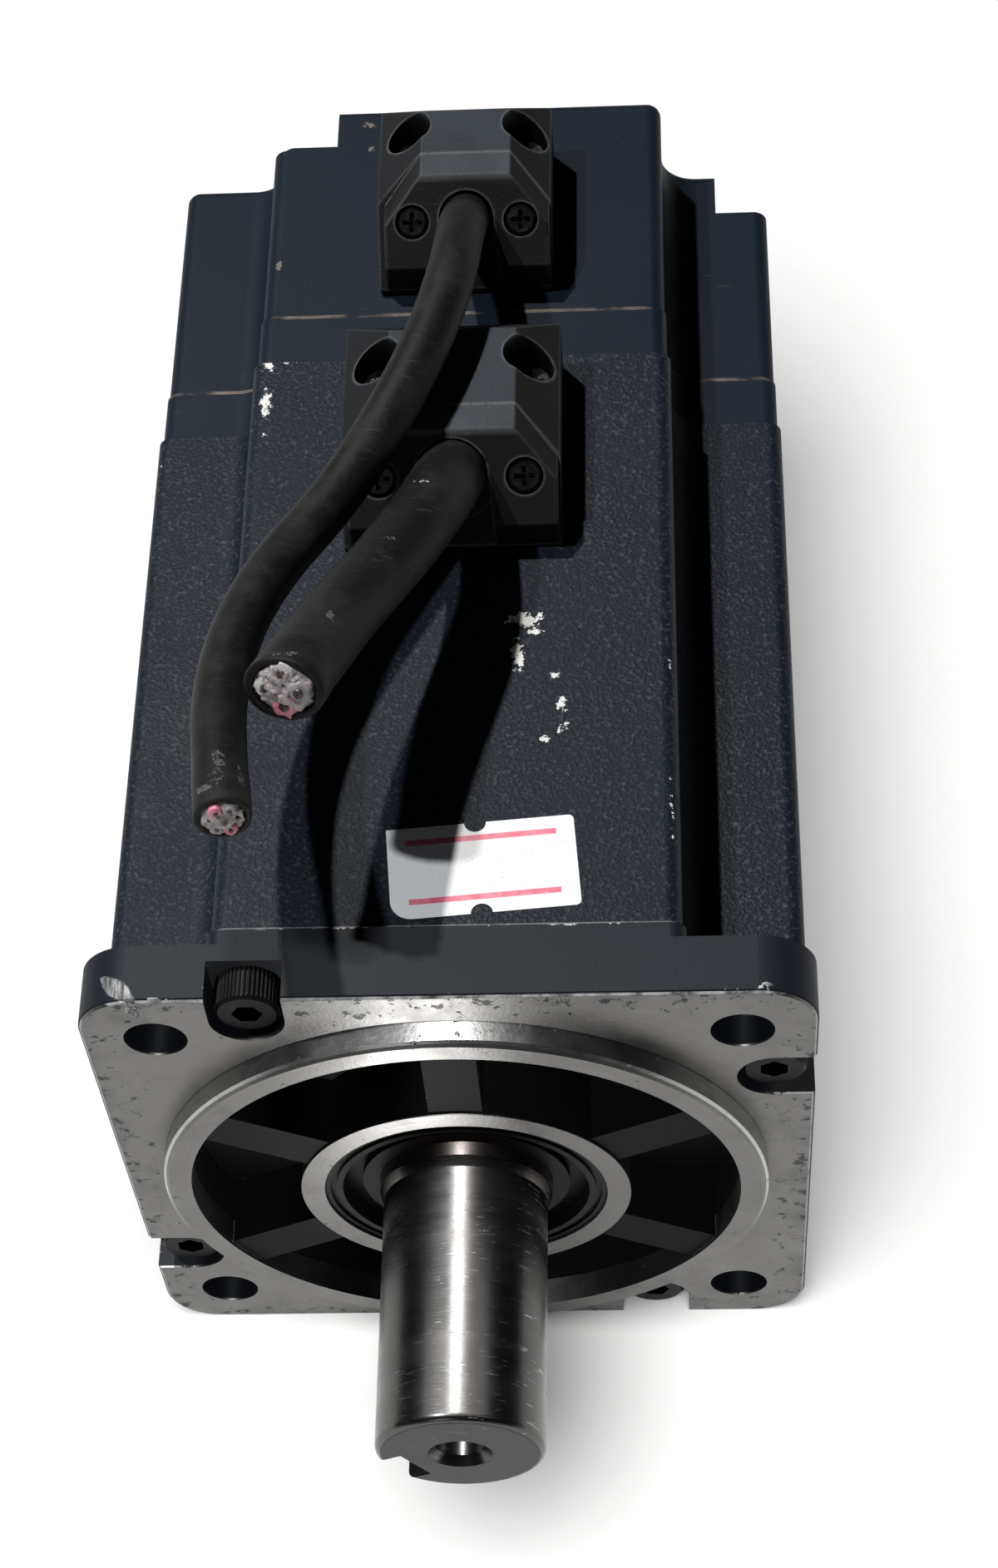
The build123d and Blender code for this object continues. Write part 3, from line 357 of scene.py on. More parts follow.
def makeSmoothPaint(spec):
    material, tree, shader, coords = startMaterial("smoothPaint", Specular_IOR_Level=0.12)
    height, tone = effect(tree, grain, coords, **spec["grain"])
    paint = mixColour(tree, tone, spec["colour"], spec["paler"])
    scuffs = effect(tree, scratch, coords, **spec["scuffs"])["Mask"]
    paint = mixColour(tree, times(tree, scuffs, spec["scuffShare"]), paint, grey(spec["scuff"]))
    rubbed = fade(tree, noise(tree, coords, spec["seamBreaks"], 4.0, 0.65), 0.42, 0.62)
    onSeam = times(tree, seamLine(tree, coords, spec), rubbed)
    bare = larger(tree, bareSpots(tree, coords, spec), onSeam)
    colourIt(tree, shader, mixColour(tree, bare, paint, spec["chipColour"]))
    roughen(tree, shader, tone, spec["roughness"])
    bump(tree, shader, height, spec["grainDepth"])
    return material


# front bracket: bare machined faces, dark paint on the flange's sides and in the recess, the recess darker
# still partly as painted shade, and a painted highlight on the flange's front edge
bracketFinish = {
    "metal": (0.182, 0.176, 0.169), "darkMetal": (0.115, 0.111, 0.106), "pilot": (0.44, 0.4356, 0.4268),
    "band": 0.12, "stain": 0.075, "pit": 0.012, "edge": 0.42, "gougeTones": (0.05, 0.26), "recess": 0.0016,
    "paint": (0.0068, 0.0095, 0.0145), "palerPaint": (0.009184, 0.011536, 0.01568),
    "rimRadius": 31.75, "faceLimit": 0.25, "rimLimit": -2.85, "pilotRadius": 34.7, "pilotFoot": -0.15,
    "edgeFrom": 39.2, "edgeLimit": 0.02, "side": (32.0, 39.5), "sidePits": 0.11, "pitLimits": (0.655, 0.69),
    "tone": {"Scale": 900.0, "Coarse": 55.0}, "wear": {"Radius": 0.0005, "Amount": 0.5, "Scale": 420.0},
    "metalRoughness": (0.34, 0.46), "pilotPolish": 0.10, "gougeRoughness": 0.2, "paintRoughness": (0.52, 0.7),
    "reliefDepth": 0.000022,
    "chips": (
        (34.2, 0.6, 40.0, 2.0, 1.0, 0.70), (31.0, 0.4, 40.0, 2.2, 0.5, 0.62),
        (-30.0, 0.3, 40.0, 4.0, 0.4, 0.60), (-39.6, 2.5, 33.0, 0.9, 1.6, 0.50),
        (-37.0, 3.3, 38.6, 0.8, 0.8, 0.55), (-12.0, 9.0, 40.0, 14.0, 0.4, 0.60),
        (14.0, 9.0, 40.0, 12.0, 0.4, 0.58),
    ),
    "gouge": {"centre": (-34.9, 1.7, 40.0), "turn": -43.0, "halfWide": 1.15, "halfLong": 3.1, "from": 36.5},
}


def gougeMask(tree, coords, z, spec):  # leaf-shaped gouge in the top edge
    across, along, _ = turnedAbout(tree, coords, spec["centre"], spec["turn"])
    lengthPart = calc(tree, "DIVIDE", size(tree, across), spec["halfLong"] * mm)
    sidePart = calc(tree, "DIVIDE", size(tree, along), spec["halfWide"] * mm)
    ragged = fade(tree, noise(tree, coords, 700.0, 3.0, 0.6), 0.3, 0.7, -0.12, 0.12)
    leaf = plus(tree, plus(tree, calc(tree, "POWER", lengthPart, 1.6), sidePart), ragged)
    return times(tree, fade(tree, leaf, 0.86, 0.98, 1.0, 0.0), above(tree, z, spec["from"] * mm))


def makeBracketFinish(spec):
    material, tree, shader, coords = startMaterial("bracketFinish", Specular_IOR_Level=0.11)
    x, y, z = axes(tree, coords)
    radius = calc(tree, "SQRT", plus(tree, times(tree, x, x), times(tree, z, z)))
    outer = larger(tree, size(tree, x), size(tree, z))
    inRecess = below(tree, radius, (spec["rimRadius"] + 0.2) * mm)
    onPilot = times(tree, below(tree, y, spec["pilotFoot"] * mm),
                    above(tree, radius, spec["pilotRadius"] * mm))
    gouged = gougeMask(tree, coords, z, spec["gouge"])
    # paint covers all but the front faces and the bare spots
    front = below(tree, y, spec["faceLimit"] * mm)
    rim = larger(tree, above(tree, radius, spec["rimRadius"] * mm), below(tree, y, spec["rimLimit"] * mm))
    covered = minus(tree, 1.0, times(tree, front, rim))
    painted = times(tree, covered, minus(tree, 1.0, larger(tree, bareSpots(tree, coords, spec), gouged)))
    unpainted = minus(tree, 1.0, painted)
    # turned lines run round the axis, pits gather near the flange's outer sides
    turned = addNode(tree, "ShaderNodeCombineXYZ", {"X": radius, "Y": y, "Z": times(tree, x, 0.02)})
    turned = turned.outputs[0]
    lines = noise(tree, turned, 2600.0, 3.0, 0.6)
    bands = fade(tree, noise(tree, turned, 700.0, 3.0, 0.6), 0.35, 0.65)
    tone = effect(tree, grain, coords, **spec["tone"])["Tone"]
    nearSide = fade(tree, outer, spec["side"][0] * mm, spec["side"][1] * mm, 0.0, spec["sidePits"])
    pitted = plus(tree, noise(tree, coords, 480.0, 5.0, 0.72), nearSide)
    pits = times(tree, fade(tree, pitted, *spec["pitLimits"]), unpainted)
    stain = fade(tree, plus(tree, noise(tree, coords, 130.0, 6.0, 0.7), nearSide), 0.56, 0.74)
    metal = mixColour(tree, times(tree, tone, 0.5), spec["metal"], spec["darkMetal"])
    metal = mixColour(tree, onPilot, metal, spec["pilot"])
    metal = mixColour(tree, times(tree, bands, 0.26), metal, grey(spec["band"]))
    metal = mixColour(tree, times(tree, stain, 0.55), metal, grey(spec["stain"]))
    metal = mixColour(tree, times(tree, pits, 0.85), metal, grey(spec["pit"]))
    alongGouge = (0.0, 0.0, math.radians(-spec["gouge"]["turn"]))
    scuff = noise(tree, stretched(tree, coords, (1.0, 0.12, 1.0), alongGouge), 2400.0, 3.0, 0.6)
    torn = mixColour(tree, fade(tree, scuff, 0.4, 0.62), *(grey(level) for level in spec["gougeTones"]))
    metal = mixColour(tree, gouged, metal, torn)
    # bright line on the flange's front edge: partly worn metal, partly a painted highlight for the light the
    # sharp edge catches, so it is kept non-metallic
    edgeWearAndPaintedHighlight = times(tree, above(tree, outer, spec["edgeFrom"] * mm), above(tree, y, spec["edgeLimit"] * mm))
    edgeWearAndPaintedHighlight = times(tree, edgeWearAndPaintedHighlight, fade(tree, noise(tree, coords, 300.0, 4.0, 0.6), 0.35, 0.55))
    edgeWearAndPaintedHighlight = times(tree, edgeWearAndPaintedHighlight, minus(tree, 1.0, gouged))
    metal = mixColour(tree, edgeWearAndPaintedHighlight, metal, grey(spec["edge"]))
    paint = mixColour(tree, tone, spec["paint"], spec["palerPaint"])
    # painted shade: the paint in the recess is made darker still, partly its own dark cast paint, partly the
    # shade that falls in the hollow
    paint = mixColour(tree, times(tree, inRecess, 0.8), paint, grey(spec["recess"]))
    colourIt(tree, shader, mixColour(tree, painted, metal, paint))
    shiny = minus(tree, 1.0, larger(tree, times(tree, gouged, 0.5), edgeWearAndPaintedHighlight))
    feed(tree, shader.inputs["Metallic"], times(tree, unpainted, shiny))
    dull = fade(tree, noise(tree, coords, 160.0, 3.0, 0.6), 0.3, 0.7, *spec["metalRoughness"])
    dull = minus(tree, dull, times(tree, onPilot, spec["pilotPolish"]))
    dull = plus(tree, dull, times(tree, gouged, spec["gougeRoughness"]))
    roughen(tree, shader, painted, (dull, fade(tree, inRecess, 0.0, 1.0, *spec["paintRoughness"])))
    relief = plus(tree, times(tree, lines, 0.5), times(tree, noise(tree, coords, 1900.0, 3.0, 0.5), 0.8))
    relief = minus(tree, relief, times(tree, pits, 1.4))
    relief = minus(tree, relief, times(tree, gouged, 4.0))
    bump(tree, shader, relief, spec["reliefDepth"])
    return material


# ground steel of the shaft, with fine turned lines and light scratches
shaftSteel = {
    "colour": (0.118, 0.114, 0.110), "dark": (0.056, 0.054, 0.052), "rust": (0.021, 0.0125, 0.0105),
    "mark": 0.75, "markShare": 0.4, "end": 0.036, "endShare": 0.9, "endFrom": -34.95, "endRoughness": 0.15,
    "seal": (-4.2, -3.4), "roughness": (0.22, 0.34), "reliefDepth": 0.000012,
    "marks": {"Turn": (0.0, 0.3, 0.4), "Scale": 380.0, "Amount": 0.5},
    "longMarks": {"Turn": (0.0, 0.0, 1.5), "Scale": 420.0, "Amount": 0.75},
}


def makeShaftSteel(spec):
    material, tree, shader, coords = startMaterial("shaftSteel", Metallic=1.0)
    y = axes(tree, coords)[1]
    lines = noise(tree, stretched(tree, coords, (0.25, 9.0, 0.25)), 900.0, 3.0, 0.6)
    bands = noise(tree, stretched(tree, coords, (0.15, 1.0, 0.15)), 260.0, 4.0, 0.6)
    marks = larger(tree, effect(tree, scratch, coords, **spec["marks"])["Mask"],
                   effect(tree, scratch, coords, **spec["longMarks"])["Mask"])
    endFace = below(tree, y, spec["endFrom"] * mm)
    cloud = fade(tree, noise(tree, coords, 110.0, 5.0, 0.65), 0.35, 0.7)
    steel = mixColour(tree, times(tree, cloud, 0.35), spec["colour"], spec["dark"])
    steel = mixColour(tree, times(tree, marks, spec["markShare"]), steel, grey(spec["mark"]))
    bySeal = fade(tree, y, *(limit * mm for limit in spec["seal"]))
    rusty = times(tree, bySeal, fade(tree, cloud, 0.0, 1.0, 0.45, 0.9))
    steel = mixColour(tree, rusty, steel, spec["rust"])
    colourIt(tree, shader, mixColour(tree, times(tree, endFace, spec["endShare"]), steel, grey(spec["end"])))
    rough = fade(tree, bands, 0.3, 0.7, *spec["roughness"])
    feed(tree, shader.inputs["Roughness"], plus(tree, rough, times(tree, endFace, spec["endRoughness"])))
    bump(tree, shader, minus(tree, lines, marks), spec["reliefDepth"])
    return material


# matt black plastic of the cable covers: its worn colour serves as painted light on the upward-facing tops,
# less on sideways slopes, and for real scuff marks; a painted highlight runs on the lip over the cable,
# besides the worn edges
coverPlastic = {
    "colour": (0.0048, 0.0048, 0.0055), "worn": (0.0225, 0.0290, 0.0370), "edge": (0.10, 0.104, 0.108),
    "raised": 47.0, "lip": (50.8, 51.4), "roughness": (0.5, 0.62), "grainDepth": 0.00004,
    "wear": {"Radius": 0.0006, "Amount": 0.9, "Scale": 350.0}, "wearShare": 0.8, "markShare": 0.4,
    "marks": {"Turn": (0.0, 0.0, 0.8), "Scale": 420.0, "Amount": 0.7},
    "grain": {"Scale": 2400.0, "Coarse": 40.0},
}
# the clamp's upward-facing faces get a paler colour still, more painted light
clampPlastic = dict(coverPlastic, worn=(0.040, 0.048, 0.057))


def makeCoverPlastic(name, spec):
    material, tree, shader, coords = startMaterial(name, Specular_IOR_Level=0.22)
    z = axes(tree, coords)[2]
    facing = axes(tree, tree.nodes.new("ShaderNodeNewGeometry").outputs["Normal"])
    rub = fade(tree, noise(tree, coords, 120.0, 5.0, 0.65), 0.3, 0.62)
    # painted light: faces turned up on the raised cover are paler, less where they turn sideways, as the
    # overhead light falls on them; the rub noise breaks it up
    paintedLitTop = times(tree, fade(tree, facing[2], 0.74, 0.90), above(tree, z, spec["raised"] * mm))
    paintedLitTop = times(tree, paintedLitTop, fade(tree, size(tree, facing[0]), 0.3, 0.6, 1.0, 0.3))
    paintedLightAndMarks = times(tree, paintedLitTop, fade(tree, rub, 0.0, 1.0, 0.55, 1.0))
    marks = effect(tree, scratch, coords, **spec["marks"])["Mask"]
    paintedLightAndMarks = larger(tree, paintedLightAndMarks, times(tree, marks, spec["markShare"]))
    plastic = mixColour(tree, paintedLightAndMarks, spec["colour"], spec["worn"])
    # painted highlight: a pale band along the front-facing lip over the cable stands in for the light its
    # edge catches; it is joined to the worn edges
    lip = times(tree, below(tree, facing[1], -0.5), fade(tree, z, *(limit * mm for limit in spec["lip"])))
    worn = larger(tree, effect(tree, edgeWear, coords, **spec["wear"])["Mask"],
                  times(tree, lip, fade(tree, rub, 0.0, 1.0, 0.5, 1.0)))
    colourIt(tree, shader, mixColour(tree, times(tree, worn, spec["wearShare"]), plastic, spec["edge"]))
    roughen(tree, shader, rub, spec["roughness"])
    bump(tree, shader, effect(tree, grain, coords, **spec["grain"])["Height"], spec["grainDepth"])
    return material


# rubber of the cables, dusty and rubbed
cableRubber = {
    "colour": (0.0058, 0.0056, 0.0056), "dust": (0.042, 0.041, 0.040), "mark": (0.42, 0.41, 0.39),
    "roughness": (0.54, 0.72), "smearShare": 0.16, "scratchShare": 0.9, "grainDepth": 0.00004,
    "marks": {"Turn": (0.0, 0.0, 1.2), "Scale": 360.0, "Amount": 0.75},
    "scratches": (
        (-2.3, 55.7, 58.9, 1.5, 0.5, 1.0), (0.0, 56.0, 58.9, 0.6, 0.4, 1.0),
        (-8.1, 37.5, 65.0, 0.7, 1.6, 0.6),
    ),
    "smears": (
        (-21.1, 12.4, 67.2, 1.3, 3.6, 0.82), (-22.0, 8.9, 66.8, 1.5, 1.6, 0.84),
        (-18.9, 11.5, 66.3, 0.8, 3.6, 0.8), (-14.3, 22.7, 70.5, 2.6, 0.7, 0.7),
        (-10.5, 30.0, 67.5, 0.8, 5.0, 0.7), (-5.0, 45.0, 62.2, 2.0, 0.8, 0.66),
    ),
}


def makeCableRubber(spec):
    material, tree, shader, coords = startMaterial("cableRubber", Specular_IOR_Level=0.17)
    cloud = fade(tree, noise(tree, coords, 120.0, 6.0, 0.7), 0.46, 0.70)
    speck = fade(tree, noise(tree, coords, 900.0, 4.0, 0.7), 0.62, 0.75)
    marks = effect(tree, scratch, coords, **spec["marks"])["Mask"]
    dusty = plus(tree, times(tree, cloud, 0.35), times(tree, speck, 0.25))
    dusty = larger(tree, dusty, times(tree, marks, 0.7))
    rubber = mixColour(tree, dusty, spec["colour"], spec["dust"])
    smeared = times(tree, chipMasks(tree, coords, spec["smears"]), spec["smearShare"])
    scratched = times(tree, chipMasks(tree, coords, spec["scratches"]), spec["scratchShare"])
    colourIt(tree, shader, mixColour(tree, larger(tree, smeared, scratched), rubber, spec["mark"]))
    roughen(tree, shader, cloud, spec["roughness"])
    bump(tree, shader, noise(tree, coords, 1300.0, 4.0, 0.6), spec["grainDepth"])
    return material


# one finish with a slow change of tone and a fine bump
def makePlain(name, colour, roughness, metallic=0.0, variation=0.25, scale=150.0, depth=0.00003,
              grainScale=1500.0, **fixed):
    material, tree, shader, coords = startMaterial(name, Metallic=metallic, **fixed)
    cloud = fade(tree, noise(tree, coords, scale, 4.0, 0.6), 0.3, 0.7)
    darker = tuple(part * (1.0 - variation) for part in colour)
    colourIt(tree, shader, mixColour(tree, cloud, darker, colour))
    roughen(tree, shader, cloud, (roughness - 0.05, roughness + 0.05))
    bump(tree, shader, noise(tree, coords, grainScale, 3.0, 0.5), depth)
    return material


# blank label with two thin red bars
labelFinish = {
    "centre": (4.0, 16.6, 0.0), "turn": 4.7, "barHalfLength": 8.3, "barHalfHeight": 0.36,
    "bars": (3.9, -3.72), "paper": (0.80, 0.80, 0.81), "fibre": 0.6, "speck": 0.35, "red": (0.72, 0.12, 0.20),
    "reliefDepth": 0.00004,
}


def makeLabelFinish(spec):
    material, tree, shader, coords = startMaterial("labelFinish", Roughness=0.45)
    x, y, _ = turnedAbout(tree, coords, spec["centre"], spec["turn"])
    bars = 0.0
    for height in spec["bars"]:
        near = size(tree, minus(tree, y, height * mm))
        bars = larger(tree, bars, below(tree, near, spec["barHalfHeight"] * mm))
    ink = times(tree, bars, below(tree, size(tree, x), spec["barHalfLength"] * mm))
    ink = times(tree, ink, fade(tree, noise(tree, coords, 900.0, 3.0, 0.6), 0.3, 0.6, 0.8, 1.0))
    fibres = fade(tree, noise(tree, coords, 1500.0, 3.0, 0.6), 0.3, 0.7, 0.0, 0.12)
    paper = mixColour(tree, fibres, spec["paper"], grey(spec["fibre"]))
    specks = fade(tree, noise(tree, coords, 2600.0, 2.0, 0.6), 0.62, 0.70, 0.0, 0.5)
    specks = times(tree, specks, fade(tree, noise(tree, coords, 200.0), 0.4, 0.6))
    paper = mixColour(tree, specks, paper, grey(spec["speck"]))
    colourIt(tree, shader, mixColour(tree, ink, paper, spec["red"]))
    bump(tree, shader, noise(tree, coords, 500.0, 3.0, 0.5), spec["reliefDepth"])
    return material


finishes = {
    "housing": makeHousingPaint(housingPaint),
    "smooth": makeSmoothPaint(smoothPaint),
    "bracket": makeBracketFinish(bracketFinish),
    "shaft": makeShaftSteel(shaftSteel),
    "cover": makeCoverPlastic("coverPlastic", coverPlastic),
    "clamp": makeCoverPlastic("clampPlastic", clampPlastic),
    "cable": makeCableRubber(cableRubber),
    "label": makeLabelFinish(labelFinish),
    "seal": makePlain("sealRubber", (0.0095, 0.0062, 0.0052), 0.42, 0.0, 0.5, 260.0,
                      Specular_IOR_Level=0.12),
    "gasket": makePlain("gasketRubber", (0.006, 0.006, 0.0065), 0.6, Specular_IOR_Level=0.25),
    "blackScrew": makePlain("blackScrew", (0.0085, 0.0085, 0.009), 0.46, 0.2, 0.4, 300.0,
                            Specular_IOR_Level=0.12),
    "coverScrew": makePlain("coverScrew", (0.05, 0.05, 0.053), 0.27, 0.8, 0.6, 700.0, 0.00012, 1400.0),
    "bearing": makePlain("bearingSteel", (0.55, 0.55, 0.56), 0.18, 1.0, 0.15),
    "spring": makePlain("springSteel", (0.42, 0.41, 0.40), 0.32, 1.0),
    "lamination": makePlain("laminationSteel", (0.24, 0.24, 0.25), 0.45, 1.0, 0.3, 200.0),
    "copper": makePlain("copperWire", (0.62, 0.24, 0.10), 0.32, 0.9, 0.3, 500.0, 0.00008, 2500.0),
    "magnet": makePlain("magnetPlate", (0.30, 0.30, 0.32), 0.3, 1.0),
    "board": makePlain("circuitBoard", (0.012, 0.10, 0.035), 0.35, 0.0, 0.3),
    "insulator": makePlain("insulatorPlastic", (0.55, 0.52, 0.44), 0.5),
    "coreWhite": makePlain("coreWhite", (0.58, 0.56, 0.55), 0.42, 0.0, 0.35, 500.0),
    "corePink": makePlain("corePink", (0.70, 0.22, 0.30), 0.42, 0.0, 0.35, 500.0),
    "conductor": makePlain("conductor", (0.10, 0.075, 0.07), 0.4, 0.6, 0.4, 900.0),
    "filling": makePlain("fillingFibre", (0.56, 0.48, 0.48), 0.42, 0.0, 0.9, 700.0, 0.0002, 2200.0),
    "coreGrey": makePlain("coreGrey", (0.32, 0.31, 0.32), 0.42, 0.0, 0.35, 500.0),
    "glass": makePlain("encoderGlass", (0.75, 0.80, 0.82), 0.1, 0.0, 0.05, Transmission_Weight=0.8),
}

nodeFinish = {
    "front_bracket": "bracket", "flange_screws": "blackScrew", "oil_seal": "seal",
    "front_bearing_outer_ring": "bearing", "front_bearing_inner_ring": "bearing",
    "front_bearing_balls": "bearing", "front_bearing_cage": "insulator",
    "front_bearing_snap_ring": "blackScrew", "rear_bearing_outer_ring": "bearing",
    "rear_bearing_inner_ring": "bearing", "rear_bearing_balls": "bearing",
    "rear_bearing_cage": "insulator", "rear_bearing_wave_spring": "spring", "stator_housing": "housing",
    "stator_core": "lamination", "slot_insulators": "insulator", "stator_coils": "copper",
    "coil_board": "board", "coil_terminal_block": "insulator", "shaft": "shaft",
    "rotor_core": "lamination", "rotor_magnets": "magnet", "rotor_sleeve": "spring",
    "rear_bracket": "smooth", "rear_bracket_screws": "blackScrew", "encoder_hub": "spring",
    "encoder_hub_screw": "blackScrew", "encoder_disc": "glass", "encoder_board": "board",
    "encoder_board_screws": "spring", "encoder_reading_head": "cover", "encoder_connector": "insulator",
    "rear_cover_seal": "gasket", "rear_cover": "smooth", "rear_cover_screws": "blackScrew",
    "label": "label",
}
for side in ("power", "encoder"):
    nodeFinish.update({
        side + "_cover_base": "cover", side + "_cover_gasket": "gasket", side + "_cover_screws": "coverScrew",
        side + "_cable_clamp": "clamp", side + "_clamp_screws": "coverScrew", side + "_cable_bush": "gasket",
        side + "_leads": "coreWhite", side + "_cable": "cable", side + "_cable_cores": "coreWhite"})
for name, node in frame["nodes"].items():
    for slot in node.material_slots:
        slot.material = finishes[nodeFinish[name]]
print("finishes on", len(frame["nodes"]), "nodes")


# cables: one smooth line each, swept as a jacket with its cores
def routeLine(name, points):
    curve = bpy.data.curves.new(name, "CURVE")
    curve.dimensions = "3D"
    spline = curve.splines.new("NURBS")
    spline.points.add(len(points) - 1)
    for point, place in zip(spline.points, points):
        point.co = (place[0] * mm, place[1] * mm, place[2] * mm, 1.0)
    spline.order_u = 3
    spline.use_endpoint_u = True
    curve.resolution_u = 12
    holder = bpy.data.objects.new(name, curve)
    bpy.context.collection.objects.link(holder)
    bpy.context.view_layer.update()
    mesh = bpy.data.meshes.new_from_object(holder.evaluated_get(bpy.context.evaluated_depsgraph_get()))
    line = [vertex.co.copy() for vertex in mesh.vertices]
    bpy.data.objects.remove(holder)
    return line


class Track:  # places along a line, with a frame that doesn't twist
    def __init__(self, line):
        self.line = line
        self.marks = [0.0]
        for before, after in zip(line, line[1:]):
            self.marks.append(self.marks[-1] + (after - before).length)
        self.length = self.marks[-1]
        self.ways = []
        for k in range(len(line)):
            self.ways.append((line[min(k + 1, len(line) - 1)] - line[max(k - 1, 0)]).normalized())
        side = self.ways[0].cross(Vector((0.0, 0.0, 1.0))).normalized()
        self.sides = []
        for way in self.ways:
            side = (side - way * side.dot(way)).normalized()
            self.sides.append(side)

    def frameAt(self, distance):
        k = 0
        while k < len(self.marks) - 2 and self.marks[k + 1] < distance:
            k += 1
        span = self.marks[k + 1] - self.marks[k]
        part = (distance - self.marks[k]) / span
        centre = self.line[k].lerp(self.line[k + 1], part)
        way = self.ways[k].lerp(self.ways[k + 1], min(max(part, 0.0), 1.0)).normalized()
        side = self.sides[k].lerp(self.sides[k + 1], min(max(part, 0.0), 1.0))
        side = (side - way * side.dot(way)).normalized()
        return centre, side, way.cross(side)


# rings hold distance, radius and oval; both ends are closed
def sweepPiece(name, track, rings, around, finish, shift=(0.0, 0.0)):
    mesh = bmesh.new()
    loops = []
    for distance, radius, oval in rings:
        centre, side, up = track.frameAt(distance)
        centre = centre + side * shift[0] + up * shift[1]
        loop = []
        for k in range(around):
            angle = 2 * math.pi * k / around
            across = side * (radius * (1 + oval) * math.cos(angle))
            loop.append(mesh.verts.new(centre + across + up * (radius * (1 - oval) * math.sin(angle))))
        loops.append(loop)
    for before, after in zip(loops, loops[1:]):
        for k in range(around):
            mesh.faces.new((before[k], before[(k + 1) % around], after[(k + 1) % around], after[k]))
    mesh.faces.new(list(reversed(loops[0])))
    mesh.faces.new(loops[-1])
    bmesh.ops.recalc_face_normals(mesh, faces=mesh.faces)
    data = bpy.data.meshes.new(name)
    mesh.to_mesh(data)
    mesh.free()
    for face in data.polygons:
        face.use_smooth = True
    data.materials.append(finishes[finish])
    piece = bpy.data.objects.new(name, data)
    bpy.context.collection.objects.link(piece)
    return piece


powerCable = {
    "name": "powerCable", "node": "power", "radius": 4.1, "bore": 3.15, "boreDepth": 6.0, "oval": 0.03,
    "endOval": 0.07, "wireShare": 0.42, "filling": 0.75, "lumps": 0.55,
    "route": ((0.0, 66.95, 45.85), (0.0, 63.16, 49.64), (-1.84, 53.9, 54.9), (-6.03, 44.26, 57.7),
              (-10.81, 33.87, 61.68), (-14.8, 20.26, 68.15)),
    "cores": ((1.3, 1.84, 0.0, "coreWhite"), (1.3, 1.84, 90.0, "corePink"), (1.3, 1.84, 180.0, "coreGrey"),
              (1.3, 1.84, 270.0, "coreWhite")),
}
encoderCable = {
    "name": "encoderCable", "node": "encoder", "radius": 2.95, "bore": 2.25, "boreDepth": 6.0, "oval": 0.0,
    "endOval": 0.03, "wireShare": 0.35, "filling": 1.0, "lumps": 0.4,
    "route": ((0.9, 107.65, 45.85), (0.9, 103.33, 50.17), (0.64, 95.64, 54.37), (0.17, 88.85, 56.14),
              (-1.46, 81.44, 56.28), (-4.23, 72.97, 56.18), (-8.3, 63.67, 55.5), (-13.11, 54.36, 55.28),
              (-18.39, 45.6, 56.57), (-21.69, 35.61, 58.7), (-22.68, 25.26, 61.02), (-21.8, 15.45, 63.42),
              (-20.52, 6.55, 65.21)),
    "cores": tuple((0.7, 1.42, 60.0 * k, ("coreWhite", "coreGrey", "corePink")[k % 3]) for k in range(6))
             + ((0.7, 0.0, 0.0, "coreWhite"),),
}

# how both cables are swept, lengths in mm
sweepSizes = {
    "step": 1.2, "waves": ((0.008, 9.0, 0.0), (0.005, 31.0, 1.0)), "jacketStop": 0.995, "endFrom": 0.95,
    "endRound": 0.965, "boreLip": (1.03, 0.3), "boreFit": 0.97, "around": 40, "coreAround": 20,
    "wireAround": 12, "fillingAround": 48, "coreLumps": 0.6, "tearScale": 1500.0,
    "coreDepth": 0.95, "coreReach": (0.1, 0.25), "coreTip": (0.15, 0.86), "wireDepth": 1.0,
    "wireTips": (0.12, 0.2), "wireTipShare": 0.7, "domeMiddle": 0.05,
    "dome": (1.0, 0.85, 0.7, 0.55, 0.4, 0.25, 0.1, 0.0), "domeDrop": 0.25, "fillingDepth": 2.5,
    "seed": 4,
}
noiseField.seed_set(sweepSizes["seed"])  # unseeded, this noise differs from run to run


def tear(piece, height):  # moves the vertices unevenly, by up to about the height in mm
    for vertex in piece.data.vertices:
        vertex.co += noiseField.noise_vector(vertex.co * sweepSizes["tearScale"]) * height * mm


def jacketRings(spec, length):
    radius = spec["radius"] * mm
    bore = spec["bore"] * mm
    oval = spec["oval"] + spec["endOval"]
    steps = int(length / (sweepSizes["step"] * mm))
    waves = sweepSizes["waves"]
    widest = 1 + sum(height for height, pace, start in waves)
    rings = []
    for k in range(steps + 1):
        part = k / steps
        wobble = 1 + sum(height * math.sin(pace * part + start) for height, pace, start in waves)
        thick = radius * (wobble if k else 1.0) / widest
        flat = spec["oval"] * part + (spec["endOval"] if part > sweepSizes["endFrom"] else 0.0)
        rings.append((length * part * sweepSizes["jacketStop"], thick, flat))
    lip, lipDepth = sweepSizes["boreLip"]
    rings += [(length, radius * sweepSizes["endRound"], oval), (length, bore * lip, oval),
              (length - lipDepth * mm, bore, oval), (length - spec["boreDepth"] * mm, bore, oval)]
    return rings


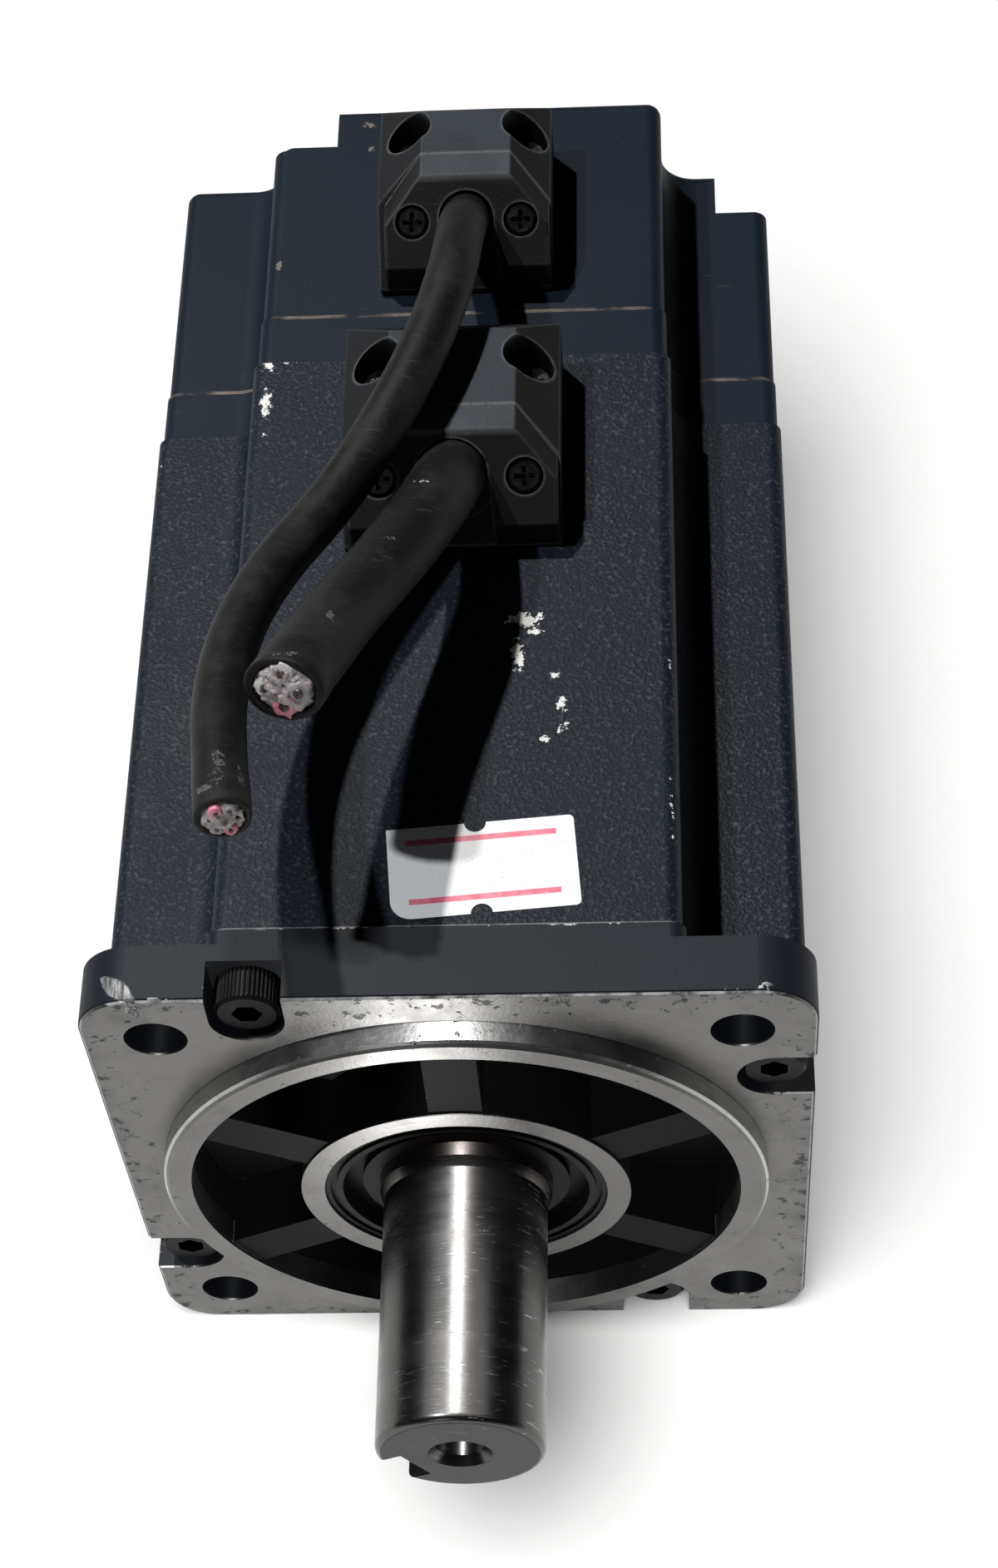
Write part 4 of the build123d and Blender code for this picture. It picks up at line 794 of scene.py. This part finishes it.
def makeCores(spec, track):  # the cores in the bore, each with its bare wire
    length = track.length
    pieces = []
    for number, (thick, circle, angle, finish) in enumerate(spec["cores"]):
        turn = math.radians(angle)
        shift = (circle * math.cos(turn) * mm, circle * math.sin(turn) * mm)
        least, more = sweepSizes["coreReach"]
        reach = length + (least + more * ((number * 7) % 3)) * mm  # the cores end unevenly
        tip, tipShare = sweepSizes["coreTip"]
        coreRings = [(length - spec["boreDepth"] * sweepSizes["coreDepth"] * mm, thick * mm, 0.0),
                     (reach - tip * mm, thick * mm, 0.0), (reach, thick * tipShare * mm, 0.0)]
        core = sweepPiece("%sCore%d" % (spec["name"], number + 1), track, coreRings,
                          sweepSizes["coreAround"], finish, shift)
        tear(core, spec["lumps"] * sweepSizes["coreLumps"])
        wire = spec["wireShare"] * thick * mm
        shoulder, point = (reach + part * mm for part in sweepSizes["wireTips"])
        wireRings = [(length - sweepSizes["wireDepth"] * mm, wire, 0.0), (shoulder, wire, 0.0),
                     (point, wire * sweepSizes["wireTipShare"], 0.0)]
        pieces += [core, sweepPiece("%sWire%d" % (spec["name"], number + 1), track, wireRings,
                                    sweepSizes["wireAround"], "conductor", shift)]
    return pieces


def makeFilling(spec, track):  # torn filling between the cores, lumpy and slightly domed
    bore = spec["bore"] * mm * sweepSizes["boreFit"]
    oval = spec["oval"] + spec["endOval"]
    rings = [(track.length - sweepSizes["fillingDepth"] * mm, bore, oval)]
    for share in sweepSizes["dome"]:
        height = spec["filling"] * (1 - share ** 2) - sweepSizes["domeDrop"]
        radius = max(bore * share, sweepSizes["domeMiddle"] * mm)
        rings.append((track.length + height * mm, radius, oval))
    filling = sweepPiece(spec["name"] + "Filling", track, rings, sweepSizes["fillingAround"], "filling")
    tear(filling, spec["lumps"])
    return filling


def makeCable(spec):
    track = Track(routeLine(spec["name"] + "Line", spec["route"]))
    jacket = sweepPiece(spec["name"], track, jacketRings(spec, track.length), sweepSizes["around"], "cable")
    cores = makeCores(spec, track) + [makeFilling(spec, track)]
    for piece in [jacket] + cores:
        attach(piece, "motor_body")
    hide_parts(spec["node"] + "_cable")
    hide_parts(spec["node"] + "_cable_cores")
    print(spec["name"], "length", round(track.length, 4))


makeCable(powerCable)
makeCable(encoderCable)

# knurled heads of the four flange screws: ribs set round each head
screwKnurl = {
    "screws": 4, "across": -21.45, "along": 35.4, "headRadius": 3.5, "front": 1.25, "length": 3.55,
    "ribs": 44, "ribRadius": 0.19,
}


def makeKnurlTree():
    tree = bpy.data.node_groups.new("knurledHeads", "GeometryNodeTree")
    sockets = {}
    for label, kind in (("Screws", "Int"), ("Ribs", "Int"), ("Screw Circle", "Float"),
                        ("First Angle", "Float"), ("Head Radius", "Float"), ("Rib Radius", "Float"),
                        ("Rib Length", "Float"), ("Rib Front", "Float"), ("Finish", "Material")):
        socket = tree.interface.new_socket(label, in_out="INPUT", socket_type="NodeSocket" + kind)
        sockets[label] = socket.identifier
    upright = (math.radians(90.0), 0.0, 0.0)
    ribSides = 5
    tree.interface.new_socket("Geometry", in_out="OUTPUT", socket_type="NodeSocketGeometry")
    given = tree.nodes.new("NodeGroupInput").outputs
    rib = addNode(tree, "GeometryNodeMeshCylinder", {"Vertices": ribSides, "Radius": given["Rib Radius"],
                                                     "Depth": given["Rib Length"]}).outputs["Mesh"]
    ring = addNode(tree, "GeometryNodeMeshCircle", {"Vertices": given["Ribs"],
                                                    "Radius": given["Head Radius"]})
    ribs = addNode(tree, "GeometryNodeInstanceOnPoints", {"Points": ring.outputs["Mesh"], "Instance": rib})
    middle = plus(tree, given["Rib Front"], times(tree, given["Rib Length"], 0.5))
    place = addNode(tree, "ShaderNodeCombineXYZ", {"Y": middle}).outputs[0]
    head = addNode(tree, "GeometryNodeTransform", {"Geometry": ribs.outputs[0], "Translation": place,
                                                   "Rotation": upright}).outputs[0]
    circle = addNode(tree, "GeometryNodeMeshCircle", {"Vertices": given["Screws"],
                                                      "Radius": given["Screw Circle"]})
    turn = addNode(tree, "ShaderNodeCombineXYZ", {"Z": given["First Angle"]}).outputs[0]
    turned = addNode(tree, "GeometryNodeTransform", {"Geometry": circle.outputs["Mesh"], "Rotation": turn})
    points = addNode(tree, "GeometryNodeTransform", {"Geometry": turned.outputs[0], "Rotation": upright})
    heads = addNode(tree, "GeometryNodeInstanceOnPoints", {"Points": points.outputs[0], "Instance": head})
    real = addNode(tree, "GeometryNodeRealizeInstances", {"Geometry": heads.outputs[0]})
    dressed = addNode(tree, "GeometryNodeSetMaterial", {"Geometry": real.outputs[0],
                                                        "Material": given["Finish"]})
    feed(tree, tree.nodes.new("NodeGroupOutput").inputs[0], dressed.outputs[0])
    return tree, sockets


def makeScrewKnurl(spec):
    tree, sockets = makeKnurlTree()
    piece = bpy.data.objects.new("flangeScrewKnurl", bpy.data.meshes.new("flangeScrewKnurlStart"))
    bpy.context.collection.objects.link(piece)
    modifier = piece.modifiers.new("knurl", "NODES")
    modifier.node_group = tree
    values = {
        "Screws": spec["screws"], "Ribs": spec["ribs"], "Finish": finishes["blackScrew"],
        "Screw Circle": math.hypot(spec["across"], spec["along"]) * mm,
        "First Angle": math.atan2(spec["along"], spec["across"]), "Head Radius": spec["headRadius"] * mm,
        "Rib Radius": spec["ribRadius"] * mm, "Rib Length": spec["length"] * mm,
        "Rib Front": spec["front"] * mm,
    }
    for label, value in values.items():
        modifier[sockets[label]] = value
    bpy.context.view_layer.update()
    mesh = bpy.data.meshes.new_from_object(piece.evaluated_get(bpy.context.evaluated_depsgraph_get()))
    piece.modifiers.remove(modifier)
    piece.data = mesh
    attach(piece, "motor_body")
    print("knurl faces", len(mesh.polygons), "box", [round(part, 4) for part in piece.bound_box[0]])


makeScrewKnurl(screwKnurl)

# rear cover screws with the low heads that stay below the outline in the photograph
lowHeads = {"seat": 127.4, "share": 0.3}


def makeLowHeads(spec):
    piece = bpy.data.objects.new("rearCoverLowScrews", frame["nodes"]["rear_cover_screws"].data.copy())
    bpy.context.collection.objects.link(piece)
    for vertex in piece.data.vertices:
        height = vertex.co.y - spec["seat"] * mm
        if height > 0:
            vertex.co.y -= height * (1 - spec["share"])
    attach(piece, "motor_body")
    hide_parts("rear_cover_screws")
    print("low heads", len(piece.data.polygons))


makeLowHeads(lowHeads)

# floor, lights and camera
stage = {
    "floorHeight": -0.04, "floorHalf": 3.0, "floorColour": (0.88, 0.88, 0.87),
    "world": (0.80, 0.88, 1.0), "worldStrength": 0.015,
}
floorMesh = bpy.data.meshes.new("floor")
half = stage["floorHalf"]
floorMesh.from_pydata([(x, y, stage["floorHeight"]) for x, y in ((-half, -half), (half, -half), (half, half),
                                                                 (-half, half))], [], [(0, 1, 2, 3)])
floor = bpy.data.objects.new("floor", floorMesh)
bpy.context.collection.objects.link(floor)
floorMesh.materials.append(makePlain("floorPaper", stage["floorColour"], 0.9, 0.0, 0.02, 3.0, 0.0001, 300.0))

world = bpy.data.worlds.new("studio")
world.use_nodes = True
world.node_tree.nodes["Background"].inputs["Color"].default_value = stage["world"] + (1.0,)
world.node_tree.nodes["Background"].inputs["Strength"].default_value = stage["worldStrength"]
bpy.context.scene.world = world

# the key and the cool fill stand on the left; the gleam, the streak and the halo catch the bare front metal
# and the shaft, stopped by the cables alone; the bounce stands for the light that the shaft throws back, and
# the wash lights the floor alone
overhead = {"place": (-0.075, 0.44, 0.91), "aim": (0.0, -0.02, 0.03), "stoppedBy": "cords"}
white = (1.0, 1.0, 1.0)
lights = {
    "key": {"place": (-0.323, 0.477, 0.99), "aim": (0.0, 0.04, 0.04), "size": 0.035, "power": 10.3,
            "colour": (1.0, 0.99, 0.97), "lit": "body"},
    "fill": {"place": (-0.447, 0.06, 0.99), "aim": (0.0, 0.04, 0.04), "size": 0.04, "power": 6.2,
             "colour": (0.93, 0.97, 1.0), "lit": "pieces"},
    "front": {"place": (-0.30, -0.90, 0.40), "aim": (0.0, 0.0, 0.0), "size": 0.35, "power": 0.45,
              "lit": "pieces"},
    "gleam": {**overhead, "size": 0.085, "power": 2.8, "lit": "front"},
    "streak": {**overhead, "size": 0.07, "power": 3.2, "lit": "shaft"},
    "halo": {**overhead, "size": 1.7, "power": 8.0, "lit": "shaft"},
    "bounce": {"place": (-0.008, -0.030, -0.014), "aim": (-0.003, 0.0, 0.038), "size": 0.012,
               "power": 0.0125, "lit": "bracket", "stoppedBy": "nothing"},
    "wash": {"place": (-0.3, -1.0, 3.0), "aim": (-0.02, 0.02, -0.04), "size": 2.2, "power": 150.0,
             "lit": "floor"},
}
litGroups = {name: bpy.data.collections.new("lit_" + name)
             for name in ("pieces", "body", "floor", "front", "bracket", "shaft", "cords", "nothing")}
for item in bpy.data.objects:
    if item.type == "MESH":
        litGroups["floor" if item is floor else "pieces"].objects.link(item)
        if item.name not in ("floor", "shaft"):
            litGroups["body"].objects.link(item)
for name in ("front_bracket", "shaft"):
    litGroups["front"].objects.link(frame["nodes"][name])
litGroups["bracket"].objects.link(frame["nodes"]["front_bracket"])
litGroups["shaft"].objects.link(frame["nodes"]["shaft"])
for name in ("powerCable", "encoderCable"):
    litGroups["cords"].objects.link(bpy.data.objects[name])
litGroups["nothing"].objects.link(floor)
for name, spec in lights.items():
    data = bpy.data.lights.new(name, "AREA")
    data.shape = "DISK"
    data.size = spec["size"]
    data.energy = spec["power"]
    data.color = spec.get("colour", white)
    lamp = bpy.data.objects.new(name, data)
    lamp.location = spec["place"]
    lamp.rotation_euler = (Vector(spec["aim"]) - Vector(spec["place"])).to_track_quat("-Z", "Y").to_euler()
    lamp.light_linking.receiver_collection = litGroups[spec["lit"]]
    if "stoppedBy" in spec:
        lamp.light_linking.blocker_collection = litGroups[spec["stoppedBy"]]
    bpy.context.collection.objects.link(lamp)

view = {"place": (0.024683, -0.166606, 0.327210), "turn": (33.9845, 3.2456, 0.8156), "lens": 71.962,
        "sensor": 36.0}
cameraData = bpy.data.cameras.new("camera")
cameraData.lens = view["lens"]
cameraData.sensor_width = view["sensor"]
camera = bpy.data.objects.new("camera", cameraData)
camera.location = view["place"]
camera.rotation_euler = [math.radians(angle) for angle in view["turn"]]
bpy.context.collection.objects.link(camera)
bpy.context.scene.camera = camera
bpy.context.scene.view_settings.view_transform = "Standard"
print("stage ready")
